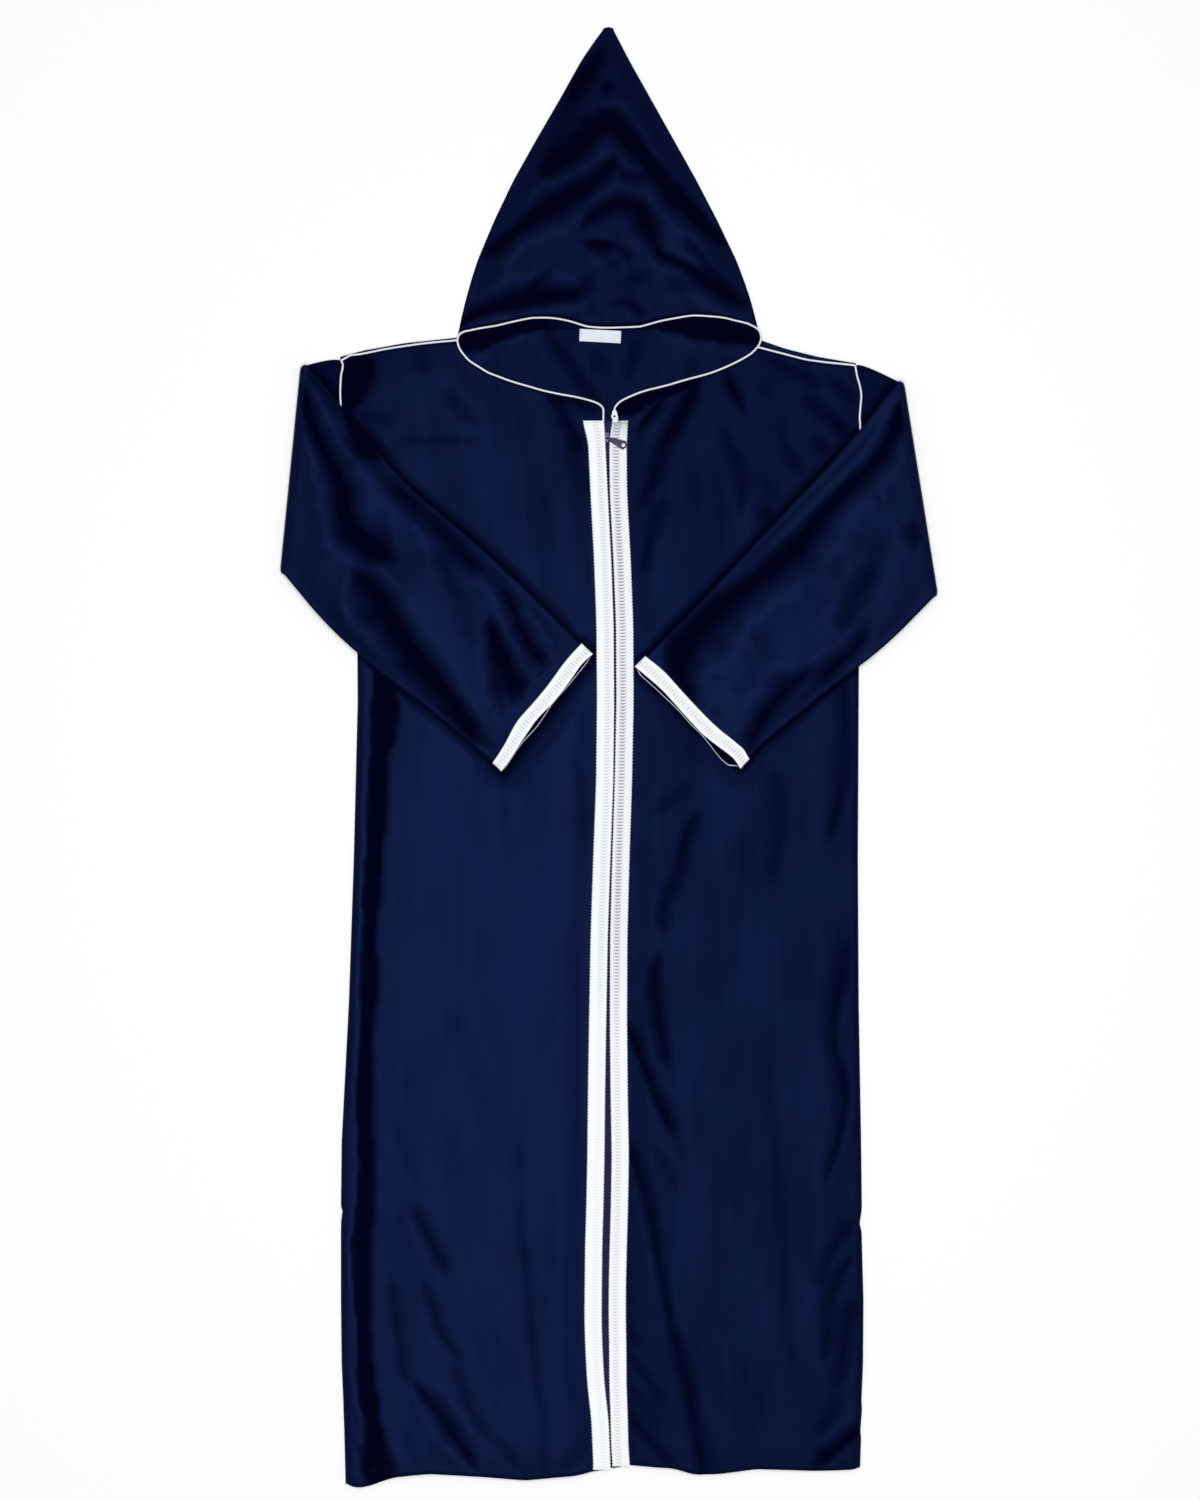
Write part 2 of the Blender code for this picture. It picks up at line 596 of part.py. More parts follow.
def sleeve_rings(sleeve, first, swell=0.0):
    """Rings along a sleeve from station `first`: -1 starts at the armhole, and swell stands them proud."""
    stations = sleeve.stations
    fold = stations[0]
    upper, lower = Vector((fold.upper_x, fold.upper_y)), Vector((fold.lower_x, fold.lower_y))
    run = (lower - upper).normalized()
    out = Vector((run.y, -run.x)) * (1 if Vector((run.y, -run.x)).x * sleeve.side > 0 else -1)
    axis_inset = TURN_RADIUS + EDGE_HALF
    up = Vector((0, 0, 1))
    rings = []

    def ring_at(start, end, middle_z, normal, loft, shape=None):
        width = (end - start).length + 2 * swell
        across_dir = (end - start).normalized()
        ring = []
        for across, high, side in flat_ring(width, SLEEVE_STEPS, EDGE_HALF + swell):
            share = min(max((across - swell) / (width - 2 * swell), 0.0), 1.0)
            plan = shape(share) if shape else start + across_dir * (across - swell)
            base = Vector((plan.x, plan.y, middle_z(plan)))
            rise = high * side
            if side > 0 and high == EDGE_HALF + swell:
                rise += loft * smooth(min(share, 1 - share) / 0.22)
                rise += max(fold_relief(sleeve.folds, plan.x, plan.y), -loft * 0.6) * min(
                    1.0, 4 * min(share, 1 - share)
                ) * (1.0 if loft > 1.0 else 0.0)
            ring.append(base + normal * rise)
        rings.append(ring)

    if first < 0:
        def along_armhole(share):
            y = mix(sleeve.armhole_top.y - 1.5, sleeve.armhole_bottom.y, share)
            return Vector((armhole_x(sleeve, y) + sleeve.side * SEAM_GAP, y))

        top, bottom = along_armhole(0.0), along_armhole(1.0)
        ring_at(top, bottom, lambda p: EDGE_HALF, -up, 0.0, along_armhole)
        start, end = upper - out * axis_inset, lower - out * axis_inset
        near = (mix(top, start, 0.6), mix(bottom, end, 0.6))
        ring_at(*near, lambda p: EDGE_HALF, -up, 0.0)
        for angle in range(0, 181, TURN_STEP):
            a = math.radians(angle)
            normal = Vector((out.x, out.y, 0)) * math.sin(a) - up * math.cos(a)
            shift = out * (TURN_RADIUS * math.sin(a))
            high = EDGE_HALF + TURN_RADIUS * (1 - math.cos(a))
            loft = fold.loft * angle / 180
            ring_at(start + shift, end + shift, lambda p, high=high: high, normal, loft)

    def rest_height(plan):
        inward = (upper - out * axis_inset - plan).dot(out)
        return EDGE_HALF + mix(2 * TURN_RADIUS, SLEEVE_LOW, smooth_from(inward, SETTLE_FROM, SETTLE_TO))

    for station in stations[max(first, 1):]:
        start = Vector((station.upper_x, station.upper_y))
        end = Vector((station.lower_x, station.lower_y))
        ring_at(start, end, rest_height, up, station.loft)
    return rings


def make_sleeve(sleeve):
    """A sleeve: a flattened tube from the armhole, turned back on itself and laid over the front."""
    form = tube_form(sleeve_rings(sleeve, -1))
    thicken(object_from(sleeve.name, form, "navy_satin"), WALL)


def make_cuff_band(sleeve):
    """The braid sewn round a sleeve's end, made from the sleeve's own last two rings, moved out."""
    name = sleeve.name.replace("sleeve", "cuff_band")
    form = tube_form(sleeve_rings(sleeve, len(sleeve.stations) - 2, swell=SEAM_GAP + CUFF_BAND_THICK))
    thicken(object_from(name, form, "white_braid"), CUFF_BAND_THICK)


# ---------------------------------------------------------------- trims


def strip_object(name, middle, width, top_of, thickness, finish, levels):
    """A flat strip that follows a line down the front, lying on whatever top_of gives."""

    def place(c, r):
        y = levels[r]
        x = middle(y) + (c - 1) * width / 2
        return x, y, top_of(x, y) + thickness

    form, _ = grid_form(3, len(levels), place)
    face_along(form, Vector((0, 0, 1)))
    thicken(object_from(name, form, finish), thickness)


def band_levels(top, bottom):
    inner = [row.y for row in BAND_LINE if bottom + 5 < row.y < top - 5]
    return [top, *inner, bottom]


def make_bands():
    for side, name in ((-1, "band_right"), (1, "band_left")):
        bottom = curve_y(HEM, band_middle(side, HEM_LEVEL)) + BAND_INSET
        strip_object(
            name,
            lambda y, side=side: band_middle(side, y),
            BAND_WIDTH,
            lambda x, y: FRONT_TOP + SEAM_GAP,
            BAND_THICK,
            "white_braid",
            band_levels(BAND_TOP, bottom),
        )


def make_zip_chain():
    tape_low = WALL + SEAM_GAP
    levels = band_levels(ZIP_TOP, ZIP_BOTTOM)
    half = (TAPE_WIDTH + SEAM_GAP) / 2
    for side, name in ((-1, "zip_tape_right"), (1, "zip_tape_left")):
        strip_object(
            name,
            lambda y, side=side: zip_middle(y) + side * half,
            TAPE_WIDTH,
            lambda x, y: tape_low,
            WALL,
            "zip_tape",
            levels,
        )
    strip_object(
        "zip_coil",
        zip_middle,
        COIL_WIDTH,
        lambda x, y: tape_low + WALL + SEAM_GAP,
        COIL_THICK,
        "zip_coil",
        band_levels(ZIP_TOP - 4, ZIP_BOTTOM + 4),
    )


def plate_form(outline, bottom, top):
    """A plate of the given plan outline between two heights."""
    form = bmesh.new()
    base = form.faces.new([form.verts.new((x, y, bottom)) for x, y in outline])
    raised = bmesh.ops.extrude_face_region(form, geom=[base])["geom"]
    lifted = [item for item in raised if isinstance(item, bmesh.types.BMVert)]
    bmesh.ops.translate(form, vec=(0, 0, top - bottom), verts=lifted)
    bmesh.ops.recalc_face_normals(form, faces=form.faces)
    return form


def hide_cutter(obj):
    obj.hide_render = True
    obj.display_type = "WIRE"
    obj.hide_set(True)


def join_by(target, other, operation):
    change = target.modifiers.new(f"{operation.lower()}_{other.name}", "BOOLEAN")
    change.operation = operation
    change.object = other
    hide_cutter(other)


def make_slider():
    """The zip's slider: a flat shield with a bail standing along its middle."""
    x, y = SLIDER_PLACE
    half, long_half = SLIDER_WIDTH / 2, SLIDER_LENGTH / 2
    outline = [
        (-SLIDER_NOSE / 2, -long_half), (SLIDER_NOSE / 2, -long_half), (half - 0.5, -1.0),
        (half, 2.0), (half, long_half - 1.0), (half - 1.0, long_half), (1.0 - half, long_half),
        (-half, long_half - 1.0), (-half, 2.0), (0.5 - half, -1.0),
    ]
    form = plate_form([(x + a, y + b) for a, b in outline], SLIDER_BOTTOM, SLIDER_TOP)
    body = object_from("zip_slider", form, "zip_metal")
    foot = SLIDER_TOP - BAIL_WIRE
    shoulder = BAIL_HEIGHT - BAIL_BEND
    reach = BAIL_SPAN / 2
    path = [
        (x, y - reach, foot), (x, y - reach, shoulder), (x, y - reach + BAIL_BEND, BAIL_HEIGHT),
        (x, y + reach - BAIL_BEND, BAIL_HEIGHT), (x, y + reach, shoulder), (x, y + reach, foot),
    ]
    bail = cord_object("zip_bail_guide", path, BAIL_WIRE, "zip_metal")
    bail.data.bevel_resolution = 2
    mesh = bpy.data.meshes.new_from_object(bail.evaluated_get(bpy.context.evaluated_depsgraph_get()))
    bpy.data.objects.remove(bail, do_unlink=True)
    solid = bpy.data.objects.new("zip_bail_guide", mesh)
    bpy.context.scene.collection.objects.link(solid)
    join_by(body, solid, "UNION")


def tab_outline():
    """Plan outline of the pull tab, which widens from its narrow neck to its blunt pointed end."""
    near, far = (width / 2 for width in TAB_WIDTHS)
    neck = EYE_WIDTH / 2
    one_side = [
        (1.5, neck), (3.2, neck), (4.6, near - 0.7), (6.0, near), (TAB_LENGTH - 4.0, far),
        (TAB_LENGTH - 2.6, far - 0.4), (TAB_LENGTH, 1.2),
    ]
    return [(a, -b) for a, b in one_side] + list(reversed(one_side))


def turned_in_plan(outline, angle):
    cos, sin = math.cos(angle), math.sin(angle)
    return [(a * cos - b * sin, a * sin + b * cos) for a, b in outline]


def rod(name, radius, depth, at, axis, finish):
    """A short round rod about an axis, made to be joined to another solid or cut out of it."""
    form = bmesh.new()
    bmesh.ops.create_cone(
        form, cap_ends=True, segments=ROD_SEGMENTS, radius1=radius, radius2=radius, depth=depth
    )
    turn = Vector((0, 0, 1)).rotation_difference(Vector(axis)).to_matrix()
    bmesh.ops.rotate(form, matrix=turn, verts=form.verts)
    made = object_from(name, form, finish)
    made.location = Vector(at) * MM
    return made


def make_pull():
    """The pull tab, hung by its eye on the bail's bar, with its origin on that hinge axis."""
    hinge = Vector((SLIDER_PLACE[0], SLIDER_PLACE[1] + EYE_OFFSET, BAIL_HEIGHT))
    low = TAB_BOTTOM - BAIL_HEIGHT
    outline = turned_in_plan(tab_outline(), TAB_TURN)
    tab = object_from("zip_pull", plate_form(outline, low, low + TAB_THICK), "tab_metal")
    tab.location = hinge * MM
    across, up = (0, 1, 0), (0, 0, 1)
    hole = hinge + Vector((*turned_in_plan([(TAB_LENGTH - TAB_HOLE_FROM_END, 0.0)], TAB_TURN)[0], low))
    join_by(tab, rod("zip_eye", EYE_OUTER, EYE_WIDTH, hinge, across, "tab_metal"), "UNION")
    join_by(tab, rod("zip_eye_bore", EYE_INNER, 3 * EYE_WIDTH, hinge, across, "tab_metal"), "DIFFERENCE")
    join_by(tab, rod("zip_tab_hole", TAB_HOLE_RADIUS, 5 * TAB_THICK, hole, up, "tab_metal"), "DIFFERENCE")


def make_label():
    """The woven neck label, sewn flat inside the back neck."""
    width, height, thickness = LABEL_SIZE
    corners = [(-width / 2, -height / 2), (width / 2, -height / 2), (width / 2, height / 2),
               (-width / 2, height / 2)]
    x, y = LABEL_PLACE
    outline = [(x + a, y + b) for a, b in turned_in_plan(corners, LABEL_TURN)]
    low = WALL + SEAM_GAP
    object_from("neck_label", plate_form(outline, low, low + thickness), "label_tape")


def beside(points, centre, distance):
    """The points moved in plan towards a centre, square to the run of the line through them."""
    moved = []
    for i, point in enumerate(points):
        ahead = Vector(points[min(i + 1, len(points) - 1)]).xy
        behind = Vector(points[max(i - 1, 0)]).xy
        run = (ahead - behind).normalized()
        square = Vector((-run.y, run.x))
        if square.dot(Vector(centre) - Vector(point).xy) < 0:
            square = -square
        moved.append((point[0] + square.x * distance, point[1] + square.y * distance, point[2]))
    return moved


def neckline_points(side):
    """A front's neckline, from the shoulder to the zip, on its top face."""
    neckline, shoulder = front_columns(side)
    corner = (shoulder[0], curve_y(SHOULDER_SEAM[side], shoulder[0]) - SEAM_GAP, SEAM_PIPING_HEIGHT)
    return [corner, *((x, curve_y(NECKLINE, x) - SEAM_GAP, FRONT_TOP) for x in reversed(neckline))]


def make_neck_piping():
    """White cord in one run: up from the zip, round the right neckline, the hood's edge and the left."""
    out = PIPING_RADIUS + SEAM_GAP
    right = beside(neckline_points(-1), NECK_MIDDLE, out)
    left = beside(neckline_points(1), NECK_MIDDLE, out)
    over_front = [(x, y, z - 0.2) for x, y, z in hood_ring(0) if z > 2 * EDGE_HALF - 0.01]
    face = beside(over_front, NECK_MIDDLE, out)
    down = front_columns(-1)[0][0] + out + NECK_CORD_CLEAR
    ends = [(down, y, FRONT_TOP) for y in NECK_CORD_END]
    route = [*ends, *reversed(right[:-1]), *face, *left[:-1]]
    cord_object("piping_neck", route, PIPING_RADIUS, "white_cord")


def make_collar_loop():
    """The little closing loop at the top of the left band."""
    ring = []
    for i in range(LOOP_POINTS):
        angle = math.tau * i / LOOP_POINTS
        x = LOOP_PLACE[0] + LOOP_SIZE[0] * math.cos(angle)
        y = LOOP_PLACE[1] + LOOP_SIZE[1] * math.sin(angle)
        ring.append((x, y, FRONT_TOP + SEAM_GAP + LOOP_WIRE))
    cord_object("collar_loop", ring, LOOP_WIRE, "white_cord", cyclic=True)


def make_seam_pipings(side, name):
    """White cord on a shoulder seam, and another down the armhole from its end."""
    sleeve = SLEEVE[side]
    seam = sorted(SHOULDER_SEAM[side], key=lambda point: -abs(point.x))
    shoulder = [(p.x - side, p.y, SEAM_PIPING_HEIGHT) for p in seam]
    neck_end = shoulder[-1]
    shoulder[-1] = (neck_end[0] + side * SHOULDER_CORD_SHORT, neck_end[1] - 1.0, SEAM_PIPING_HEIGHT)
    cord_object(f"piping_shoulder_{name}", rounded_path(shoulder, 30.0), PIPING_RADIUS, "white_cord")
    top = sleeve.armhole_top.y - ARMHOLE_CORD_SHORT[0]
    bottom = sleeve.armhole_bottom.y + ARMHOLE_CORD_SHORT[1]
    run = []
    for i in range(ARMHOLE_CORD_STEPS + 1):
        y = mix(top, bottom, i / ARMHOLE_CORD_STEPS)
        run.append((armhole_x(sleeve, y) + side * SEAM_GAP / 2, y, SEAM_PIPING_HEIGHT))
    cord_object(f"piping_armhole_{name}", run, PIPING_RADIUS, "white_cord")


# ---------------------------------------------------------------- the robe


def main():
    clear_scene()
    make_back()
    make_front(-1, "front_right")
    make_front(1, "front_left")
    make_hood()
    for sleeve in SLEEVES:
        make_sleeve(sleeve)
        make_cuff_band(sleeve)
    make_bands()
    make_zip_chain()
    make_slider()
    make_pull()
    make_label()
    make_neck_piping()
    make_collar_loop()
    for side, name in ((-1, "right"), (1, "left")):
        make_seam_pipings(side, name)


main()
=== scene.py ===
"""A hooded djellaba robe laid flat and face up, with its sleeves folded in over the front.

Navy satin, white braid and cord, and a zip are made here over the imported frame. Tables and the
functions that read them are in millimetres. X points to the wearer's left, Y to the hood's tip and
Z up from the surface. Side -1 is the wearer's right and side 1 the left.
"""

import math
from collections import namedtuple

import bmesh
import bpy
import numpy as np
from mathutils import Matrix, Vector


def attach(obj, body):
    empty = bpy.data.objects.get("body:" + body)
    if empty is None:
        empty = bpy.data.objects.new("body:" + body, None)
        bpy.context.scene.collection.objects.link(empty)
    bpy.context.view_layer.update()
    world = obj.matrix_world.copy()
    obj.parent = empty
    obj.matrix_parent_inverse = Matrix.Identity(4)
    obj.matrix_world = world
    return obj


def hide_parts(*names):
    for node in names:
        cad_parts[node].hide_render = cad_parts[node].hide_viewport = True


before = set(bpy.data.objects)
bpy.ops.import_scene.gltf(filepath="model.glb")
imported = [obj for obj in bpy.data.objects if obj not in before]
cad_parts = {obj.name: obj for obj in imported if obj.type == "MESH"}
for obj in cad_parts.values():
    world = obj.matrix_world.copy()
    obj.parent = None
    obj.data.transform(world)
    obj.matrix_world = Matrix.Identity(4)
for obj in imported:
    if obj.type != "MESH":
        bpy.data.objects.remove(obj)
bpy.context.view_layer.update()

bl_info = {
    "name": "Djellaba Robe",
    "version": (1, 0, 0),
    "blender": (4, 5, 0),
    "location": "View3D > Sidebar > Djellaba",
    "description": "Makes the cloth, braid, cord and zip of a hooded robe that lies flat",
    "category": "Add Mesh",
}

MM = 0.001
ROBE, PULL = "robe", "pull_tab"
SIDES = ((-1, "right"), (1, "left"))

# ------------------------------------------------------------------ sizes

SEAM_GAP = 0.3
EDGE_HALF = 1.6          # half the height of a pressed edge, where a layer turns back under itself
FRONT_TOP = 4.6          # top of the fronts by the zip and under the sleeves
FRONT_EDGE_TOP = 3.2     # the same at the shoulder and armhole seams
FRONT_LOFT = 3.6         # how much higher the fronts lie where they are free
TROUGH_SHARE = 0.21      # how deep a full crease is, as a share of half its width
CREASE_MARGIN = 50.0     # how far from its path a crease is worked out
LOWEST_TOP = 2.1         # the bottom of the deepest trough, just clear of the back
SIDE_ROLL = 1.6
SIDE_TURN = ((0.0, 3.2), (1.1, 2.8), (1.7, 2.3), (1.9, 1.7), (1.7, 1.1))  # its reach and height
SIDE_TURN_STEP = 0.8     # the cloth from each step of that roll to the next
EDGE_REACH = 45.0        # how far in from the shoulder the fronts still rise
FRONT_TONE = {-1: (0.02, 0.20), 1: (0.22, 0.33)}  # how dark each front is, low down and high up
SLEEVE_TONE = {-1: 0.15, 1: 0.11}                 # how dark the folded part of each sleeve is
SHOULDER_TONE = {-1: 0.68, 1: 0.58}               # the same between its armhole and its fold
CUFF_SHADOW = {-1: 12.0, 1: 7.5}                  # how far out from each cuff its shade reaches
HOOD_EDGE_TOP = 3.0      # middle of the neck cord where it runs along the hood
HOOD_LOWEST = 523.5
NAPE_LAP, CORNER_LAP = 1.5, 4.5  # how far the hood's lower layer laps over the back's neckline
NECK_GIRTH, SLEEVE_GIRTH, CUFF_GIRTH = 370, 240, 178  # half of each tube's way round, on its cut
SLEEVE_LENGTH = 620      # on its cut, from armhole to cuff

CORD_RADIUS = 1.25
CORD_SIDES = 12
SEAM_CORD_HEIGHT = FRONT_EDGE_TOP + SEAM_GAP + CORD_RADIUS
NECK_MIDDLE = (0.0, 505.0)
CORD_TUCK = (423.5, 3.5)  # where the cord's ends slip in at the bands' tops, and over how far
LOOP_OUTLINE = [
    (4.4, 417.3), (10.5, 417.3), (10.9, 421), (11.7, 422.8), (10.9, 426.3), (9.6, 431.2),
    (8.2, 433.4), (5.6, 433.4), (3.9, 431.2), (3.9, 428.5), (2.7, 425.9), (3.1, 423.6), (4.7, 421),
]
LOOP_EYE = ((6.8, 425.4), 1.3)
LOOP_LEVELS = (5.0, 6.0)

BAND_WIDTH = 21.8
BAND_LOW, BAND_HIGH = 4.95, 6.4
BAND_TOP = 420.0
BAND_INSET = 0.5
BAND_ROWS = 1640
CUFF_BAND_THICK = 1.2
CUFF_HALF = 8.2          # half the width of a cuff's braid
BRAID_PITCH = 4.0
SCALLOP = 0.7            # how much wider and narrower each loop of its edges makes a band
BRAID_COLUMN = 2.6       # from the braid's centre line to its middle column, nearer the zip

ZIP_TOP, ZIP_BOTTOM = 418.0, -862.0
TAPE_WIDTH = 12.6
TAPE_LOW, TAPE_HIGH = 1.3, 2.3
COIL_HEIGHT = 2.95
TAPE_ROWS = 320
TOOTH_PITCH, TOOTH_RADIUS, TOOTH_LENGTH, TOOTH_ASIDE = 1.27, 0.34, 2.5, 0.45
SLIDER_PLACE = (-2.6, 399.5)
SLIDER_LEVELS = (3.6, 5.9)
SLIDER_HALF = [(1.8, -6.0), (2.6, -1.0), (3.1, 2.0), (3.1, 5.0), (2.1, 6.0)]
BAIL_SPAN, BAIL_WIRE, BAIL_BEND, BAIL_HEIGHT = 8.4, 0.6, 0.9, 8.2
EYE_INNER, EYE_OUTER, EYE_WIDTH, EYE_OFFSET = 0.95, 1.95, 1.8, -1.2
HINGE = Vector((SLIDER_PLACE[0], SLIDER_PLACE[1] + EYE_OFFSET, BAIL_HEIGHT))
TAB_LEVELS = (6.8, 8.0)
TAB_LENGTH, TAB_WIDTHS = 26.7, (6.0, 11.4)
TAB_HOLE_RADIUS, TAB_HOLE_FROM_END = 2.4, 4.3
TAB_TURN = math.radians(-24.0)

LABEL_WIDTH, LABEL_HEIGHT = 52.0, 15.5
LABEL_PLACE = (-11.0, 526.0)
LABEL_LEVELS = (1.35, 1.85)
LABEL_TURN = math.radians(-3.0)

TURN_RADIUS = 4.8
FOLD_INSET = TURN_RADIUS + EDGE_HALF
FOLD_CORNER = 9.0
SLEEVE_LOW = 6.6
SETTLE_FROM, SETTLE_TO = 40.0, 150.0
SHOULDER_LEVEL = 496.0
HEM_LEVEL = -890.0
HEM_STITCHES_UP = 17.0
SLIT_STITCHES = (-572.0, -586.0, -1.1)  # down each side, at the top of its slit: from, to, step

# The stage, in metres.
FLOOR_SIZE, FLOOR_DROP = 16.0, 0.0004
LAMP_WIDTH, LAMP_LENGTH, LAMP_HEIGHT = 3.2, 6.0, 6.0
SKY = (0.95, 0.97, 1.0, 1.0)
LENS_MM = 85.0
CAMERA_PLACE = (-0.01125, 0.00875, 4.427)

Level = namedtuple("Level", "y left right")
Point = namedtuple("Point", "x y")
Station = namedtuple("Station", "upper_x upper_y lower_x lower_y loft")
Sleeve = namedtuple("Sleeve", "side armhole_top armhole_bottom bow stations")
CuffEdge = namedtuple("CuffEdge", "share inner outer under")


def table(row, *values):
    """Rows with that kind of row's named columns."""
    return [row(*value) for value in values]


# Hood outline, from its face edge up to the blunt tip.
HOOD_OUTLINE = table(
    Level, (521, -190, 190.2), (536, -187, 186), (546, -185, 183.5), (571, -179, 177),
    (596, -172, 168.5), (621, -164, 159), (671, -143, 135), (721, -119, 109), (771, -91, 81),
    (821, -62, 53), (871, -34, 25), (896, -17, 12), (905, -10, 7.3), (912.5, -4.6, 3.9),
)

# Outline of the body below the arms, down both side seams, with the tops of the side slits.
SIDE_OUTLINE = table(
    Level, (221, -315, 313), (70, -314, 312), (-130, -319, 311), (-305, -325, 312),
    (-480, -334, 315), (-562, -335, 316), (-568, -332.5, 315.6), (-576, -334.5, 314.2),
    (-584, -334.8, 313), (-592, -335, 315.6), (-680, -335, 318), (-760, -334, 317.4),
    (-805, -332, 315.4), (-815, -331.8, 316.2), (-842, -330.8, 314), (-850, -330.6, 315),
    (-915, -329, 313),
)

# Bottom edge of front and back, from side to side.
HEM = table(
    Point, (-335, -904), (-324, -910.5), (-313, -912.5), (-296, -909), (-268, -899), (-224, -895),
    (-155, -899), (-105, -903), (-40, -897), (-20, -892), (0, -889), (26, -884), (80, -888),
    (108, -896), (138, -895), (184, -889), (254, -891), (306, -890), (320, -884),
)

# The shoulder seams, by side from the armhole in, and the shoulders' outline just behind them.
SHOULDER_SEAM = {
    -1: table(
        Point, (-334.5, 495), (-327, 499.3), (-322.5, 501.6), (-311, 503), (-296, 505.9),
        (-274, 510.2), (-231, 516.4), (-190, 520.3),
    ),
    1: table(
        Point, (307, 489), (299, 490), (274, 492.5), (259, 494.4), (244, 496.8), (214, 504.5),
        (189, 511),
    ),
}
SHOULDER_TOP = {
    -1: table(Point, (-336, 500), (-306, 508), (-256, 517), (-190, 524)),
    1: table(Point, (308, 492), (261, 500), (221, 510), (189, 521)),
}
NECK_CORNER = {-1: -190.0, 1: 189.0}
SEAM_CORD_END = {-1: (-190.3, 520.3), 1: (186.2, 511.7)}

# The armhole cords' tops, where they bend over into the shoulder seams.
ARMHOLE_CORD_TOP = {
    -1: table(
        Point, (-334.2, 494.9), (-332.4, 489.5), (-333, 483.9), (-334.4, 477.6), (-335.1, 469.5),
        (-335.6, 457.5), (-335.3, 446),
    ),
    1: table(
        Point, (307.4, 488.8), (308.4, 482.9), (310.1, 474.3), (312.6, 465.8), (314.5, 457.1),
        (315, 449), (314.3, 440.4),
    ),
}

# Middle of the neck cord, from the zip up the right front, round the hood's face edge and down the
# left front to the button loop.
NECK_CORD = table(
    Point, (-7.2, 419.2), (-7, 430), (-7.6, 435.5), (-11.3, 439.8), (-21.3, 444.4), (-41.3, 449.5),
    (-61.3, 453.1), (-81.3, 457.4), (-101.3, 463.1), (-121.3, 468.9), (-141.3, 476.3),
    (-151.3, 480.3), (-162.3, 487), (-169.4, 491.4), (-175.8, 496.1), (-180.5, 501.4),
    (-184.5, 506.5), (-187.3, 511.6), (-188.5, 515.3), (-189.3, 519.3), (-188.9, 522.5),
    (-187.8, 526), (-185.3, 528.9), (-180.5, 531.3), (-175.4, 532.5), (-158.8, 536),
    (-141.3, 538.8), (-121.3, 543.5), (-101.3, 547.7), (-91.3, 548.7), (-71.3, 548.4),
    (-51.3, 545), (-31.3, 539), (-21.3, 537.2), (-1.3, 536.3), (33.8, 537.4), (43.8, 539),
    (63.8, 544.5), (83.8, 548.4), (103.8, 551.4), (123.8, 550.7), (143.8, 548.7), (157.5, 545.3),
    (163.8, 543.9), (172, 541.8), (178.3, 538.9), (183.3, 536.1), (186.5, 533.5), (188.4, 530.5),
    (189.6, 526.4), (190, 522.6), (189, 519), (187.4, 514.8), (184, 510.3), (179.9, 506.1),
    (174.9, 502), (161.3, 494.3), (143.8, 486.1), (123.8, 478.6), (93.8, 470.5), (73.8, 464.5),
    (43.8, 456.9), (23.8, 449), (13.8, 443.6), (9.1, 438.8), (7.4, 436), (6.5, 432.4),
)

# The back's neckline.
NAPE = table(Point, (-190, 524), (-95, 535), (0, 538), (95, 535), (189, 524))

# Middles of the two braid bands down the front edges.
BAND_LINE = table(
    Level, (420, -20, 14.2), (396, -15.5, 11.2), (330, -12.4, 11.8), (245, -7.9, 16.4),
    (165, -5, 19.5), (70, -4.3, 20), (-30, -5.4, 18), (-130, -9.1, 14.7), (-225, -12.3, 12.2),
    (-330, -14.2, 11.8), (-420, -15.6, 12.7), (-500, -16.4, 14.1), (-560, -17.6, 13),
    (-610, -19.1, 11.6), (-660, -19.6, 10.4), (-700, -20, 10.3), (-740, -18.8, 11),
    (-780, -16.6, 11.1), (-805, -13.9, 12), (-830, -11, 12.9), (-850, -10.5, 13.2),
    (-870, -9.3, 14), (-888, -8.8, 15.7),
)

# Each sleeve folded over the front, as stations from its fold to its cuff.
SLEEVES = {
    -1: Sleeve(-1, Point(-336, 496), Point(-314, 221), 5.0, table(
        Station, (-385, 490, -411, 228, 1.0), (-330, 434, -349, 160, 5.0),
        (-261, 346, -280, 101, 7.5), (-181, 280, -224, 60, 8.0), (-126, 231, -180, 24, 7.0),
        (-60, 166, -153, -1, 4.5), (-33, 139, -143, -8, 3.0), (-20.5, 127, -132.5, -18, 2.5),
    )),
    1: Sleeve(1, Point(308.5, 491), Point(312, 209), 5.0, table(
        Station, (368, 470, 411.1, 200, 1.0), (298, 389, 345, 138, 5.0), (206, 292, 289, 96, 7.5),
        (158, 240, 261, 74, 8.0), (110, 189, 226, 45, 7.0), (66, 145, 192, 18, 4.5),
        (45, 124, 175, -1, 3.0), (33, 112, 163, -14, 2.5),
    )),
}

